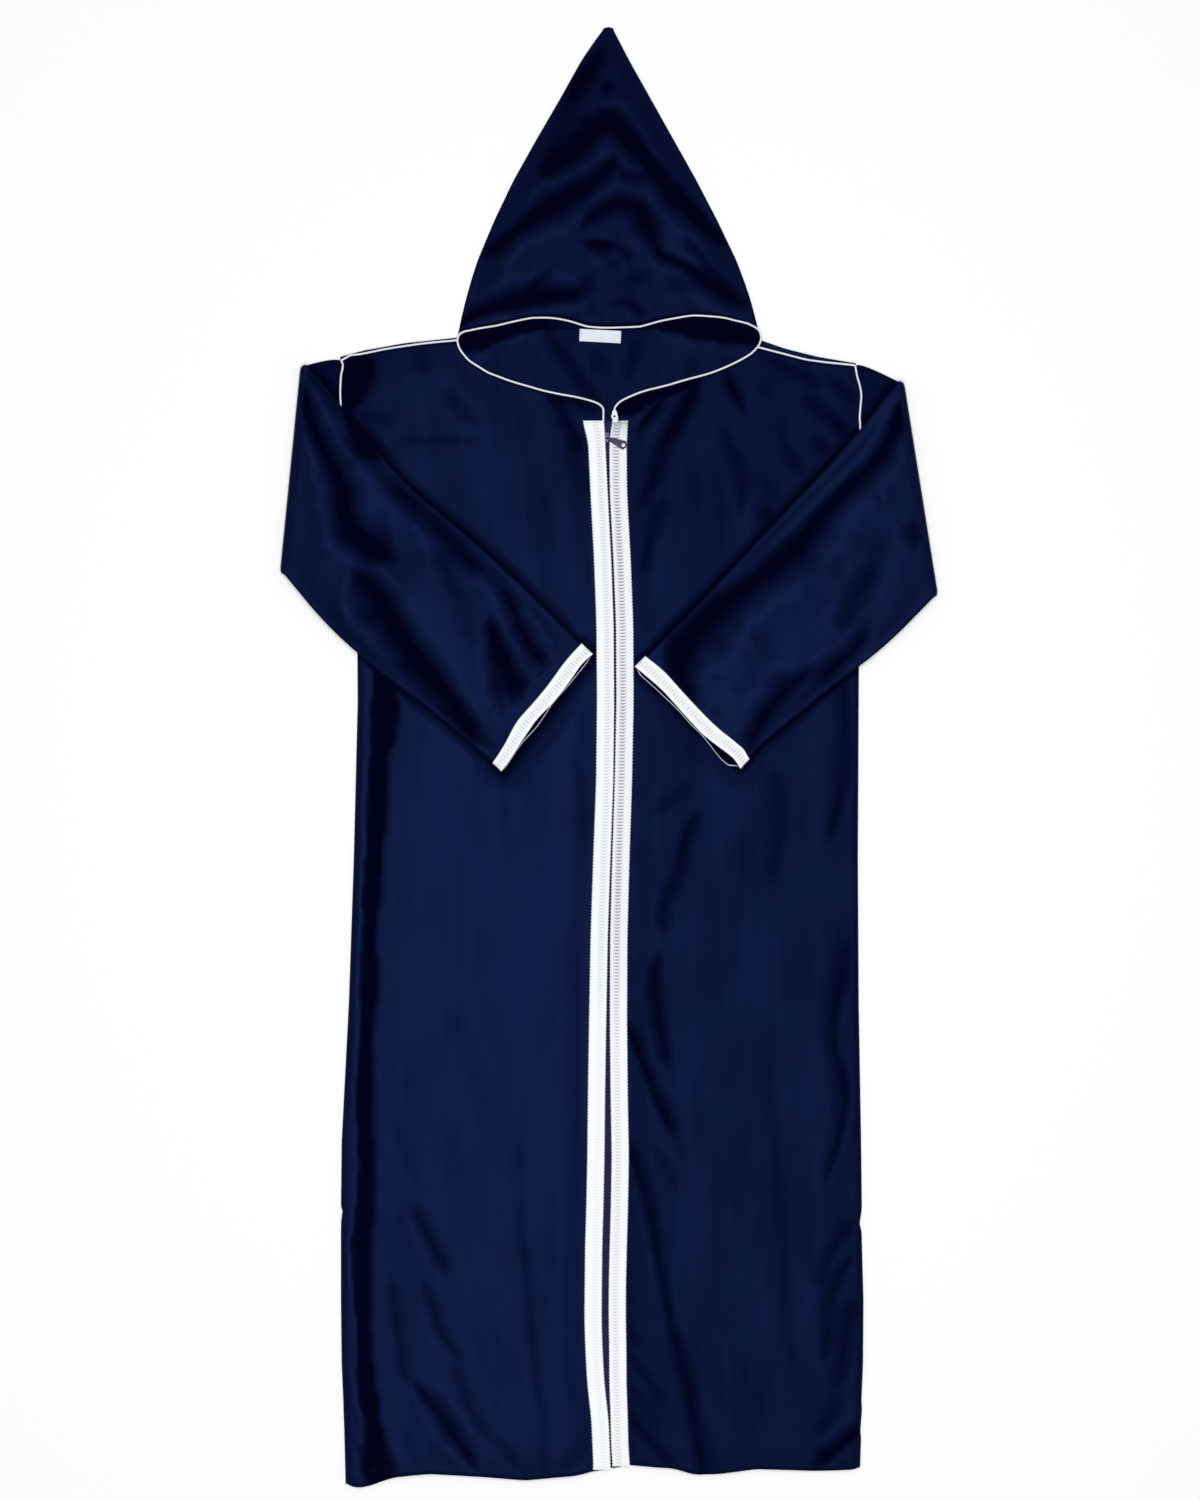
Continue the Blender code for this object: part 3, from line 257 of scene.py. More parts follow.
# How far the cuffs' edges stray out from straight lines, by share of the way down: the braid's two
# edges on the upper layer, and the lower layer's edge, which shows where the mouth falls open.
CUFF_EDGES = {
    -1: table(
        CuffEdge, (0, 0, 0, 0), (0.05, -1.4, -2.6, -0.6), (0.12, -3, -3.9, -0.9),
        (0.21, -3.8, -2.7, -1.2), (0.3, -3.5, -2.2, -1.8), (0.37, -3.6, -2, -3),
        (0.44, -4.4, -2.5, -3.4), (0.52, -5.4, -4.9, -2), (0.61, -7.4, -6, -1),
        (0.68, -8.4, -5, -2), (0.75, -7, -4.2, -3.4), (0.83, -4.4, -2.7, -3),
        (0.92, -3, -1.3, -1.6), (1, -2.7, -1.2, 0),
    ),
    1: table(
        CuffEdge, (0, 0, 0, 0.4), (0.05, -1, -0.5, 2.2), (0.1, -2.1, -1.2, 1.9),
        (0.18, -2.7, -2.1, 1.1), (0.26, -1.8, -2.5, 0.9), (0.36, -0.4, -1.2, 0.6),
        (0.45, 0.5, 0, 0.9), (0.54, 1.3, 1.1, 2.6), (0.64, 1.7, 2.2, 2.2), (0.73, 1.1, 0.7, 4),
        (0.81, -0.6, -1.2, 6.4), (0.88, -1.6, -3, 7.4), (0.93, -2.3, -3.2, 6.4),
        (0.97, 0.6, -1.2, 2.6), (1, 2, 0.2, 0.2),
    ),
}

# Creases: (dark, lean, *path), each a trough along its path of (x, y, half its width there). Dark
# is how much shade is painted along it in the satin's colour, from 0 to 1, which also sets its
# depth. Lean above 0 makes its left side, as the path runs, the steeper one, and below 0 its
# right side.
HOOD_CREASES = (
    (0.75, 0, (-4, 896, 5), (-14, 874, 10), (-26, 855, 11), (-38, 836, 11), (-54, 811, 7.5)),
    (0.4, 0, (-24, 869, 17.5), (-49, 809, 22.5), (-66, 759, 22.5), (-86, 709, 15)),
    (0.6, 0, (-16, 844, 10), (-4, 836, 12.5), (16, 828, 9)),
    (1, 0.12, (-21, 816, 9), (-4, 800, 14), (11, 786, 12.5), (29, 768, 10), (46, 746, 10),
     (64, 725, 11), (81, 702, 12.5), (99, 685, 11), (116, 668, 10), (134, 651, 9), (151, 631, 6)),
    (0.85, 0.3, (-4, 809, 15), (-19, 776, 15), (-36, 759, 15), (-59, 742, 14), (-79, 729, 10),
     (-96, 714, 6)),
    (0.9, 0, (9, 764, 5), (4, 741, 9), (-8, 728, 10), (-26, 714, 11), (-51, 699, 12.5),
     (-74, 686, 14), (-99, 670, 12.5), (-121, 652, 10), (-141, 636, 10), (-169, 616, 6)),
    (0.6, 0, (4, 744, 9), (19, 726, 7.5), (39, 722, 7.5), (64, 716, 6)),
    (0.75, 0.1, (-41, 649, 5), (-26, 671, 6), (-9, 684, 9), (11, 692, 10), (29, 690, 11),
     (44, 678, 14), (51, 661, 12.5), (58, 644, 10), (64, 621, 9)),
    (0.45, 0, (41, 701, 12.5), (41, 666, 17.5), (29, 639, 10)),
    (0.85, 0, (49, 651, 9), (66, 624, 7.5), (84, 618, 6), (101, 609, 7.5), (118, 596, 10),
     (134, 585, 11), (154, 572, 11), (184, 558, 9)),
    (0.9, 0.3, (-44, 645, 5), (-21, 641, 7), (-4, 638, 8), (19, 639, 5)),
    (0.5, 0, (4, 641, 5), (24, 626, 6), (30, 606, 5)),
    (0.55, 0, (86, 661, 5), (104, 636, 5.5), (119, 618, 6), (134, 600, 7.5), (149, 584, 9),
     (166, 566, 7.5)),
    (0.95, -0.25, (-199, 534, 6), (-169, 552, 9), (-146, 560, 10), (-121, 566, 11), (-96, 571, 11),
     (-71, 574, 12.5), (-46, 575, 11), (-21, 584, 7.5)),
    (0.6, 0, (-54, 566, 7.5), (-29, 586, 9), (-20, 614, 7.5)),
    (0.6, 0, (-64, 621, 4), (-81, 600, 6), (-96, 586, 6), (-119, 570, 6)),
    (0.45, 0, (9, 589, 7.5), (34, 598, 10), (59, 604, 6)),
    (0.6, 0, (-6, 560, 5), (16, 569, 6), (29, 565, 6), (41, 554, 6), (51, 539, 5)),
    (0.35, 0, (9, 591, 6), (36, 570, 6)),
    (0.35, 0, (-31, 579, 6), (-11, 544, 6)),
    (0.4, 0, (59, 586, 9), (89, 590, 10), (114, 581, 7.5)),
    (0.3, 0, (-11, 624, 7.5), (16, 608, 7.5)),
    (0.3, 0, (-74, 545, 7.5), (-11, 559, 7.5)),
    (0.4, 0, (-201, 526, 6), (-169, 546, 7.5)),
)
FRONT_CREASES = {
    -1: (
        (2, 0.1, (-311, 524, 11), (-311, 489, 15), (-315, 466, 15), (-322, 445, 12),
         (-332, 421, 6)),
        (0.45, 0, (-339, 429, 10), (-304, 422, 14), (-259, 419, 10)),
        (0.9, 0, (-344, 431, 7.5), (-321, 405, 11), (-306, 391, 12.5), (-289, 380, 9),
         (-261, 364, 5)),
        (0.4, 0, (-244, 529, 7.5), (-236, 506, 9), (-226, 466, 9)),
        (0.4, 0, (-216, 471, 7.5), (-196, 446, 10), (-179, 429, 10), (-159, 404, 6)),
        (0.3, 0, (-279, 391, 6), (-211, 395, 7.5), (-146, 395, 6)),
        (0.65, 0, (-86, 469, 6), (-59, 431, 9), (-44, 406, 9), (-26, 369, 7.5)),
        (0.45, 0, (-59, 411, 7.5), (-41, 376, 10), (-31, 346, 9), (-24, 309, 6)),
        (0.75, 0.2, (-91, 459, 5), (-51, 446, 7.5), (-30, 440, 10), (4, 429, 11)),
        (0.25, 0, (-105, 459, 9), (-105, 371, 9)),
        (0.22, 0, (-99, 378, 9), (-89, 234, 11)),
        (0.32, 0, (-82, 346, 11), (-74, 246, 14), (-71, 146, 10)),
        (0.22, 0, (-54, 309, 10), (-46, 146, 10)),
        (3, 0, (-278, 151, 9.5), (-280, 96, 10), (-280, 71, 11), (-281, 46, 12), (-284, 19, 11),
         (-288, -6, 9), (-289, -29, 9), (-290, -54, 8), (-291, -79, 9), (-292, -104, 8),
         (-295, -129, 8), (-296, -154, 7.5), (-298, -179, 7.5), (-299, -204, 6), (-301, -229, 7),
         (-300, -254, 8), (-300, -279, 7.5), (-301, -304, 7), (-302, -329, 6), (-304, -354, 6.5),
         (-304, -379, 6.5), (-305, -404, 6.5), (-306, -429, 7), (-305, -454, 7), (-304, -479, 8),
         (-303, -504, 7), (-303, -529, 7), (-304, -554, 7.5), (-306, -579, 9), (-310, -604, 9.5),
         (-310, -629, 8.5), (-309, -654, 7.5), (-308, -679, 7.5), (-306, -704, 7),
         (-305, -729, 6.5), (-305, -754, 6.5), (-304, -779, 7), (-300, -804, 8.5), (-295, -829, 8),
         (-292, -854, 9.5), (-290, -879, 12.5), (-281, -929, 12.5)),
        (0.68, 0, (-320, -858, 6), (-304, -875, 7.5)),
        (0.38, 0, (-325, -434, 4.5), (-322, -471, 4.5)),
        (0.17, 0, (-129, -36, 7.5), (-128, -91, 9), (-124, -136, 7.5)),
        (0.34, 0, (-45, 19, 7.5), (-34, -29, 9), (-28, -69, 9), (-29, -116, 7.5)),
        (0.25, 0, (-269, -441, 7.5), (-256, -491, 9), (-244, -526, 7.5), (-224, -561, 6)),
        (0.65, 0, (-256, -549, 5), (-239, -571, 7.5), (-229, -590, 9), (-221, -608, 9),
         (-212, -625, 9), (-196, -654, 6)),
        (0.55, 0, (-234, -644, 6), (-224, -679, 7.5), (-214, -710, 7.5), (-204, -728, 7),
         (-191, -744, 6), (-176, -766, 5)),
        (0.48, 0, (-199, -741, 6), (-186, -785, 7.5), (-179, -805, 7.5), (-169, -824, 7.5),
         (-158, -841, 7.5), (-139, -866, 6)),
        (0.5, 0, (-146, -841, 6), (-132, -861, 7.5), (-121, -878, 7.5), (-106, -896, 6)),
        (0.45, 0, (-276, -641, 6), (-266, -704, 7.5), (-262, -735, 7.5), (-259, -760, 7.5),
         (-246, -796, 6)),
        (0.85, 0, (-251, -769, 6), (-231, -795, 8), (-219, -810, 9.5), (-208, -825, 10),
         (-198, -840, 10), (-188, -855, 9), (-178, -869, 7.5), (-156, -899, 6)),
        (0.25, 0, (-114, -466, 7.5), (-111, -554, 7.5), (-106, -641, 6)),
        (0.45, 0, (-108, -599, 5), (-100, -679, 5.5), (-98, -722, 5.5), (-94, -754, 6),
         (-89, -785, 6), (-85, -816, 6), (-82, -854, 6), (-82, -916, 5.5)),
        (0.2, 0, (-80, -529, 10), (-75, -654, 9)),
        (0.3, 0, (-46, -756, 6), (-42, -826, 6)),
        (0.3, 0, (-19, -841, 7.5), (-46, -879, 7.5), (-76, -901, 6)),
        (0.3, 0, (-256, -824, 7.5), (-248, -901, 9)),
        (0.25, 0, (-156, -696, 6), (-136, -734, 6)),
        (0.2, 0, (-174, -54, 15), (-166, -129, 15)),
        (0.2, 0, (-224, -316, 17.5), (-174, -341, 15)),
    ),
    1: (
        (2, 0, (-11, 434, 10), (9, 435, 9.5), (26, 438, 8), (46, 446, 5.5), (66, 454, 4.5),
         (91, 461, 3), (119, 471, 2.5)),
        (0.9, 0, (76, 459, 4.5), (58, 434, 6), (45, 419, 6), (29, 396, 4.5)),
        (0.85, 0, (111, 489, 9), (104, 452, 9), (96, 439, 9), (86, 421, 9.5), (76, 401, 9),
         (66, 381, 7.5)),
        (0.55, 0, (84, 416, 9), (70, 394, 11), (61, 371, 11), (54, 346, 10), (44, 325, 9),
         (29, 296, 6)),
        (0.55, 0, (69, 336, 10), (61, 306, 11), (52, 276, 10), (46, 249, 9), (36, 214, 6)),
        (0.75, 0, (139, 496, 6), (148, 474, 8), (158, 452, 9), (174, 421, 6)),
        (0.5, 0, (136, 424, 7.5), (151, 386, 9), (161, 368, 9), (165, 344, 9), (165, 294, 7.5)),
        (0.3, 0, (99, 376, 9), (110, 334, 11), (115, 291, 9)),
        (0.3, 0, (186, 489, 7.5), (204, 436, 9)),
        (0.5, 0, (179, 509, 6), (214, 490, 7.5), (245, 476, 7.5), (279, 451, 6)),
        (0.45, 0, (264, 486, 6), (291, 459, 8), (319, 431, 6)),
        (0.55, 0, (231, 464, 9), (258, 440, 10.5), (276, 424, 10.5), (291, 409, 10),
         (311, 389, 7.5)),
        (0.5, 0, (246, 409, 9), (266, 389, 11), (289, 369, 9)),
        (0.5, 0, (211, 409, 7.5), (226, 378, 9), (246, 341, 7.5)),
        (0.3, 0, (211, 431, 9), (219, 389, 9)),
        (0.6, 0, (181, 324, 9), (199, 299, 11), (226, 301, 9)),
        (0.3, 0, (164, 364, 11), (191, 344, 12.5), (219, 311, 11)),
        (0.25, 0, (134, 384, 9), (141, 284, 10)),
        (0.3, 0, (101, 34, 11), (106, 6, 12.5), (101, -29, 12.5)),
        (0.35, 0, (114, -19, 9), (89, -46, 11), (66, -61, 11), (39, -81, 9)),
        (0.6, -0.2, (119, -54, 7.5), (101, -85, 9), (92, -110, 9), (88, -136, 9), (78, -161, 9),
         (68, -181, 9), (65, -201, 9), (71, -234, 7.5)),
        (0.68, 0.1, (66, -234, 7.5), (58, -266, 9), (58, -296, 9), (62, -329, 9), (68, -360, 9),
         (76, -401, 7.5)),
        (0.78, -0.3, (16, -319, 5), (29, -349, 5.5), (40, -379, 6), (50, -404, 7.5), (60, -429, 9),
         (70, -448, 9.5), (86, -484, 7.5)),
        (0.25, 0, (79, -449, 9), (94, -519, 9)),
        (0.35, 0, (29, -476, 6), (58, -491, 7), (74, -511, 7), (89, -554, 6)),
        (0.68, -0.15, (19, -466, 6), (30, -498, 7), (40, -529, 8), (49, -560, 9.5), (54, -591, 9),
         (60, -616, 7.5), (65, -641, 7), (69, -666, 6), (74, -691, 6), (79, -716, 7),
         (86, -741, 8), (92, -766, 9.5), (99, -791, 10.5), (104, -816, 10.5), (108, -841, 10),
         (112, -866, 10), (121, -916, 9)),
        (0.3, 0, (69, -572, 11), (80, -631, 11)),
        (0.35, 0, (16, -706, 6), (41, -744, 7.5)),
        (0.5, 0, (16, -734, 6), (45, -776, 8), (59, -795, 9), (74, -824, 6)),
        (0.45, 0, (14, -769, 6), (39, -804, 8), (54, -822, 9), (74, -854, 7.5)),
        (0.6, 0, (14, -806, 6), (41, -841, 9), (58, -860, 9.5), (89, -896, 7.5)),
        (0.3, 0, (51, -89, 9), (31, -144, 9)),
        (0.38, 0.2, (204, -4, 11), (214, -51, 11), (215, -91, 11), (209, -129, 10),
         (199, -169, 9)),
        (0.25, 0, (169, -79, 10), (171, -166, 10)),
        (0.6, 0, (286, 111, 9), (294, 71, 9.5), (296, 21, 10.5), (295, -22, 10), (286, -61, 9),
         (271, -116, 7.5)),
        (0.35, 0, (304, -194, 10), (289, -224, 12.5), (279, -256, 10)),
        (0.58, 0.1, (304, -216, 6), (294, -248, 9), (291, -279, 9), (284, -306, 9), (280, -334, 9),
         (281, -364, 8), (291, -406, 6)),
        (0.68, 0.3, (289, -364, 6), (294, -404, 7.5), (296, -434, 7.5), (292, -461, 7),
         (286, -484, 5.5), (278, -506, 5), (266, -544, 4)),
        (0.5, 0, (311, -566, 7.5), (289, -601, 9), (275, -622, 9), (266, -644, 9), (256, -679, 6)),
        (0.6, 0, (309, -611, 7.5), (286, -649, 9), (276, -676, 9), (272, -704, 9), (269, -769, 6)),
        (0.55, 0, (319, -666, 9), (299, -696, 10.5), (292, -729, 11), (291, -756, 11),
         (284, -804, 9)),
        (0.45, 0, (294, -786, 10), (280, -819, 11), (266, -838, 10), (249, -859, 7.5)),
        (0.92, 0, (324, -824, 7.5), (299, -850, 8), (286, -861, 9), (274, -870, 9.5),
         (246, -891, 7.5)),
        (0.3, 0.2, (199, -366, 9), (202, -441, 10), (209, -504, 9), (214, -554, 10),
         (219, -616, 9), (221, -679, 9), (224, -729, 9), (244, -776, 7.5)),
        (0.22, 0, (246, -579, 10), (250, -666, 10)),
        (0.2, 0, (159, -736, 10), (174, -804, 11), (184, -904, 10)),
        (0.25, 0, (199, -754, 11), (186, -841, 10)),
        (0.3, 0, (124, -829, 11), (139, -911, 11)),
        (0.4, 0, (300, -441, 5), (314, -491, 5)),
    ),
}
SLEEVE_CREASES = {
    -1: (
        (1, 0, (-386, 481, 5), (-381, 451, 7.5), (-371, 416, 10), (-359, 389, 11),
         (-344, 361, 12.5), (-332, 334, 14), (-330, 302, 16), (-321, 280, 19), (-296, 261, 17.5),
         (-259, 239, 7.5)),
        (0.6, 0, (-389, 494, 5), (-364, 464, 7.5), (-344, 441, 7.5), (-321, 414, 6)),
        (2, 0, (-335, 446, 2), (-324, 421, 5), (-315, 404, 7.5), (-306, 391, 10), (-300, 382, 10),
         (-290, 374, 6), (-279, 364, 2.5)),
        (1, 0.3, (-330, 242, 9.5), (-301, 218, 15), (-280, 190, 19), (-261, 159, 20),
         (-241, 128, 19), (-216, 96, 17.5), (-191, 65, 15), (-168, 34, 11), (-152, 16, 5.5)),
        (0.78, 0.2, (-282, 355, 7), (-261, 334, 11), (-236, 312, 11), (-211, 290, 12),
         (-192, 265, 13.5), (-168, 241, 12), (-144, 224, 7)),
        (0.83, 0, (-141, 224, 7), (-124, 196, 9.5), (-111, 165, 11), (-96, 134, 11),
         (-80, 116, 11), (-59, 112, 7)),
        (1, 0, (-152, 186, 5.5), (-146, 159, 9.5), (-136, 128, 12), (-122, 96, 16), (-110, 74, 20),
         (-94, 66, 12)),
        (0.55, 0, (-149, 128, 5.5), (-135, 71, 6), (-125, 35, 5.5)),
        (0.37, 0, (-226, 268, 7), (-205, 234, 8), (-192, 209, 8), (-180, 179, 7)),
        (0.51, 0, (-341, 416, 5.5), (-325, 390, 8), (-309, 366, 9.5), (-290, 359, 7)),
        (0.64, 0, (-230, 75, 3.5), (-199, 54, 4), (-171, 24, 5), (-138, 11, 5.5)),
        (0.23, 0, (-261, 309, 9.5), (-242, 284, 11)),
        (0.28, 0, (-318, 196, 16), (-296, 146, 16)),
        (0.35, 0, (-296, 321, 17.5), (-271, 246, 20), (-249, 184, 15)),
        (0.3, 0, (-216, 271, 15), (-184, 196, 17.5), (-161, 134, 12.5)),
    ),
    1: (
        (1, -0.25, (371, 461, 6), (355, 409, 11), (339, 378, 14), (314, 351, 12.5), (284, 326, 11),
         (258, 294, 17.5), (232, 264, 19), (201, 239, 16), (170, 214, 17.5), (139, 191, 19),
         (114, 166, 21), (94, 141, 21), (84, 119, 17.5), (74, 84, 10)),
        (0.85, 0, (94, 169, 14), (80, 126, 16), (89, 96, 14), (114, 56, 9)),
        (0.41, 0, (325, 344, 5.5), (336, 321, 7), (342, 299, 5.5)),
        (0.74, 0, (378, 311, 7), (380, 280, 9.5), (382, 246, 7)),
        (0.64, 0, (336, 251, 7), (321, 221, 11), (304, 194, 11), (292, 169, 9.5), (286, 141, 7)),
        (0.78, 0, (326, 176, 8), (316, 151, 9.5), (301, 128, 9.5), (282, 114, 9.5), (266, 96, 11),
         (258, 75, 8)),
        (0.8, 0, (261, 121, 9), (239, 99, 10), (222, 89, 14), (209, 70, 12.5), (192, 50, 11),
         (179, 26, 11), (169, -6, 7.5)),
        (0.32, 0, (290, 265, 7), (284, 228, 8), (275, 204, 7)),
        (0.2, 0, (226, 209, 12), (234, 171, 12), (220, 140, 11)),
        (0.28, 0, (156, 99, 9.5), (168, 69, 9.5)),
        (0.41, 0, (128, 66, 8), (141, 45, 8)),
        (0.28, 0, (174, 71, 7), (164, 28, 8)),
        (0.3, 0, (339, 296, 15), (329, 228, 17.5), (301, 146, 15)),
        (0.3, 0, (204, 196, 17.5), (194, 121, 17.5), (164, 71, 15)),
        (0.25, 0, (276, 271, 15), (261, 184, 15)),
    ),
}
NECK_CREASES = (
    (2, 0, (-211, 518, 10), (-161, 522, 9), (-136, 530, 7), (-99, 539, 5), (-66, 551, 4)),
    (2, 0, (220, 521, 11), (164, 528, 9.5), (132, 530, 8), (101, 535, 7), (51, 545, 5)),
    (0.55, 0.15, (-86, 549, 9), (-61, 509, 9), (-46, 489, 7.5), (-34, 469, 7.5), (-21, 450, 7.5),
     (-6, 429, 7.5)),
    (0.35, 0, (-56, 546, 7.5), (-46, 509, 7.5)),
    (0.35, 0, (-156, 512, 5), (-116, 515, 6)),
    (0.4, 0, (45, 539, 9), (29, 496, 9), (20, 454, 7.5)),
    (0.3, 0, (114, 511, 7.5), (94, 466, 9)),
    (0.3, 0, (-24, 515, 11), (-4, 471, 11)),
)


def linear(hex_colour):
    """A colour in Blender's linear numbers from an sRGB hex value."""
    channels = [int(hex_colour[i:i + 2], 16) / 255 for i in (1, 3, 5)]
    return [c / 12.92 if c <= 0.04045 else ((c + 0.055) / 1.055) ** 2.4 for c in channels]


def colour_property(name, description, hex_colour):
    return bpy.props.FloatVectorProperty(
        name=name, description=description, subtype="COLOR", size=3, min=0, max=1,
        default=linear(hex_colour),
    )


def length_property(name, description, default_mm):
    return bpy.props.FloatProperty(
        name=name, description=description, unit="LENGTH", min=0, default=default_mm * MM
    )


class ClothSettings(bpy.types.PropertyGroup):
    wall: length_property("Wall", "Thickness of the satin", 0.6)
    crease_depth: bpy.props.FloatProperty(
        name="Crease depth", description="How deep the creases are, 1 as tabled", min=0, default=1
    )
    thread: length_property("Thread", "Width of one warp thread as drawn", 0.7)
    navy: colour_property("Navy", "Satin that faces up", "#080E2B")
    # Deep navy is the shade painted into creases and other shaded places.
    navy_deep: colour_property("Deep navy", "Satin that turns away in a crease", "#000012")


class TrimSettings(bpy.types.PropertyGroup):
    braid_white: colour_property("Braid", "The braid's threads", "#F8FCFF")
    # The braid gaps' grey is painted shade, and also the faint soil on the cord and the label.
    braid_gap: colour_property("Braid gaps", "Between the braid's threads", "#8D96A1")
    cord_white: colour_property("Cord", "The piping cord's cover", "#F2F4F8")
    label_white: colour_property("Label", "The bare neck label", "#E4EBF4")
    stitch_pitch: length_property("Stitch pitch", "From one stitch to the next", 2.8)


class ZipSettings(bpy.types.PropertyGroup):
    tape: colour_property("Tape", "The zip's woven tape", "#1F2248")
    coil: colour_property("Coil", "The zip's nylon teeth", "#21244B")
    slider: colour_property("Slider", "The slider's plated metal", "#4C4D6E")
    tab: colour_property("Pull tab", "The pull tab's lacquered metal", "#1A1E32")


class StageSettings(bpy.types.PropertyGroup):
    floor: colour_property("Floor", "The pale floor", "#FDFDFE")
    key_power: bpy.props.FloatProperty(
        name="Key light", description="Power of the wide light overhead, in watts", default=340
    )
    fill: bpy.props.FloatProperty(
        name="Fill", description="Strength of the light from all round", default=0.25
    )


# ------------------------------------------------------------------ curves and heights


def smooth(t):
    t = np.clip(t, 0.0, 1.0)
    return t * t * (3.0 - 2.0 * t)


def mix(a, b, t):
    return a + (b - a) * t


def bell(distance, reach):
    """1 at no distance, dying away past the reach."""
    return np.exp(-((distance / reach) ** 2))


def unit(vectors):
    return vectors / np.linalg.norm(vectors, axis=1)[:, None]


def stack(*columns):
    return np.stack(columns, axis=1)


def travelled(path):
    """How far along a path each of its points is."""
    return np.concatenate([[0], np.cumsum(np.linalg.norm(np.diff(path, axis=0), axis=1))])


def turned(points, angle):
    cos, sin = math.cos(angle), math.sin(angle)
    return np.array(points) @ ((cos, sin), (-sin, cos))


def read(rows, at, key, value, soften=0.0):
    """A table's value column where its key column is `at`, its corners rounded off by soften."""
    keys, values = zip(*sorted((getattr(row, key), getattr(row, value)) for row in rows))
    shifts = (-1.0, -0.5, 0.0, 0.5, 1.0)
    return sum(np.interp(at + soften * shift, keys, values) for shift in shifts) / len(shifts)


def curve_y(rows, x, soften=0.0):
    return read(rows, x, "x", "y", soften)


def level_x(rows, side, y, soften):
    return read(rows, y, "y", "left" if side < 0 else "right", soften)


def nape_y(x):
    return curve_y(NAPE, x, 10.0)


def armhole_x(sleeve, y):
    top, bottom = sleeve.armhole_top, sleeve.armhole_bottom
    share = np.clip((top.y - y) / (top.y - bottom.y), 0.0, 1.0)
    bowed = mix(top.x, bottom.x, share) + sleeve.side * sleeve.bow * 4 * share * (1 - share)
    corded = read(ARMHOLE_CORD_TOP[sleeve.side], y, "y", "x")
    return mix(bowed, corded, smooth((y - 430) / 15.0))


def side_x(side, y):
    """The body's outer edge at a height, along the armhole and then the side seam."""
    sleeve = SLEEVES[side]
    seam = level_x(SIDE_OUTLINE, side, y, 2.0) - side * SIDE_ROLL
    return np.where(y > sleeve.armhole_bottom.y, armhole_x(sleeve, y), seam)


def to_neck_corner(x):
    """From 0 in the middle of the neck to 1 towards its two corners."""
    return smooth((np.abs(x + 10) - 40) / 55.0)


def either_side(x, value):
    """value(side) for whichever side of the middle each x is on."""
    return np.where(x < 0, value(-1), value(1))


def band_middle(side, y):
    return level_x(BAND_LINE, side, y, 12.0)


def zip_middle(y):
    return (band_middle(-1, y) + band_middle(1, y)) / 2


def centre_edge_x(side, y):
    """A front's edge along the zip, hidden under its band."""
    return band_middle(side, np.minimum(y, ZIP_TOP)) - side * (BAND_WIDTH / 2 - BAND_INSET)


def to_segment(start, end, x, y):
    """(share of the way from start to end, distance) of the nearest point between them."""
    from_x, from_y = x - start[0], y - start[1]
    run_x, run_y = end[0] - start[0], end[1] - start[1]
    share = np.clip((from_x * run_x + from_y * run_y) / (run_x**2 + run_y**2), 0, 1)
    return share, np.hypot(from_x - share * run_x, from_y - share * run_y)


def distance_outside(corners, x, y):
    """How far each point lies outside a closed outline, 0 inside it."""
    nearest = np.full_like(x, 1e9)
    inside = np.zeros(x.shape, bool)
    for a, b in zip(corners, corners[1:] + corners[:1]):
        slope = (b[0] - a[0]) / ((b[1] - a[1]) or 1e-9)
        inside ^= ((a[1] > y) != (b[1] > y)) & (x < a[0] + slope * (y - a[1]))
        nearest = np.minimum(nearest, to_segment(a, b, x, y)[1])
    return np.where(inside, 0.0, nearest)


def sleeve_outline(side, first=0):
    """The outline of a folded sleeve, or of what lies past one of its stations."""
    stations = SLEEVES[side].stations[first:]
    upper = [(s.upper_x, s.upper_y) for s in stations]
    return upper + [(s.lower_x, s.lower_y) for s in reversed(stations)]


def neck_edges():
    """(neckline, face edge): the cloth's edges just outside the neck cord, below and above it."""
    cord = np.array(NECK_CORD, float)
    run = unit(np.gradient(cord, axis=0))
    square = stack(-run[:, 1], run[:, 0])
    outward = -np.sign(((np.array(NECK_MIDDLE) - cord) * square).sum(axis=1))
    moved = cord + square * (outward * (CORD_RADIUS + SEAM_GAP))[:, None]
    edge = [Point(x, y) for x, y in moved]
    first, last = edge.index(min(edge)), edge.index(max(edge))
    neckline = [p for p in edge[: first + 1] + edge[last:] if p.y > 436.5]
    return neckline, edge[first : last + 1]


NECKLINE, FACE_EDGE = neck_edges()


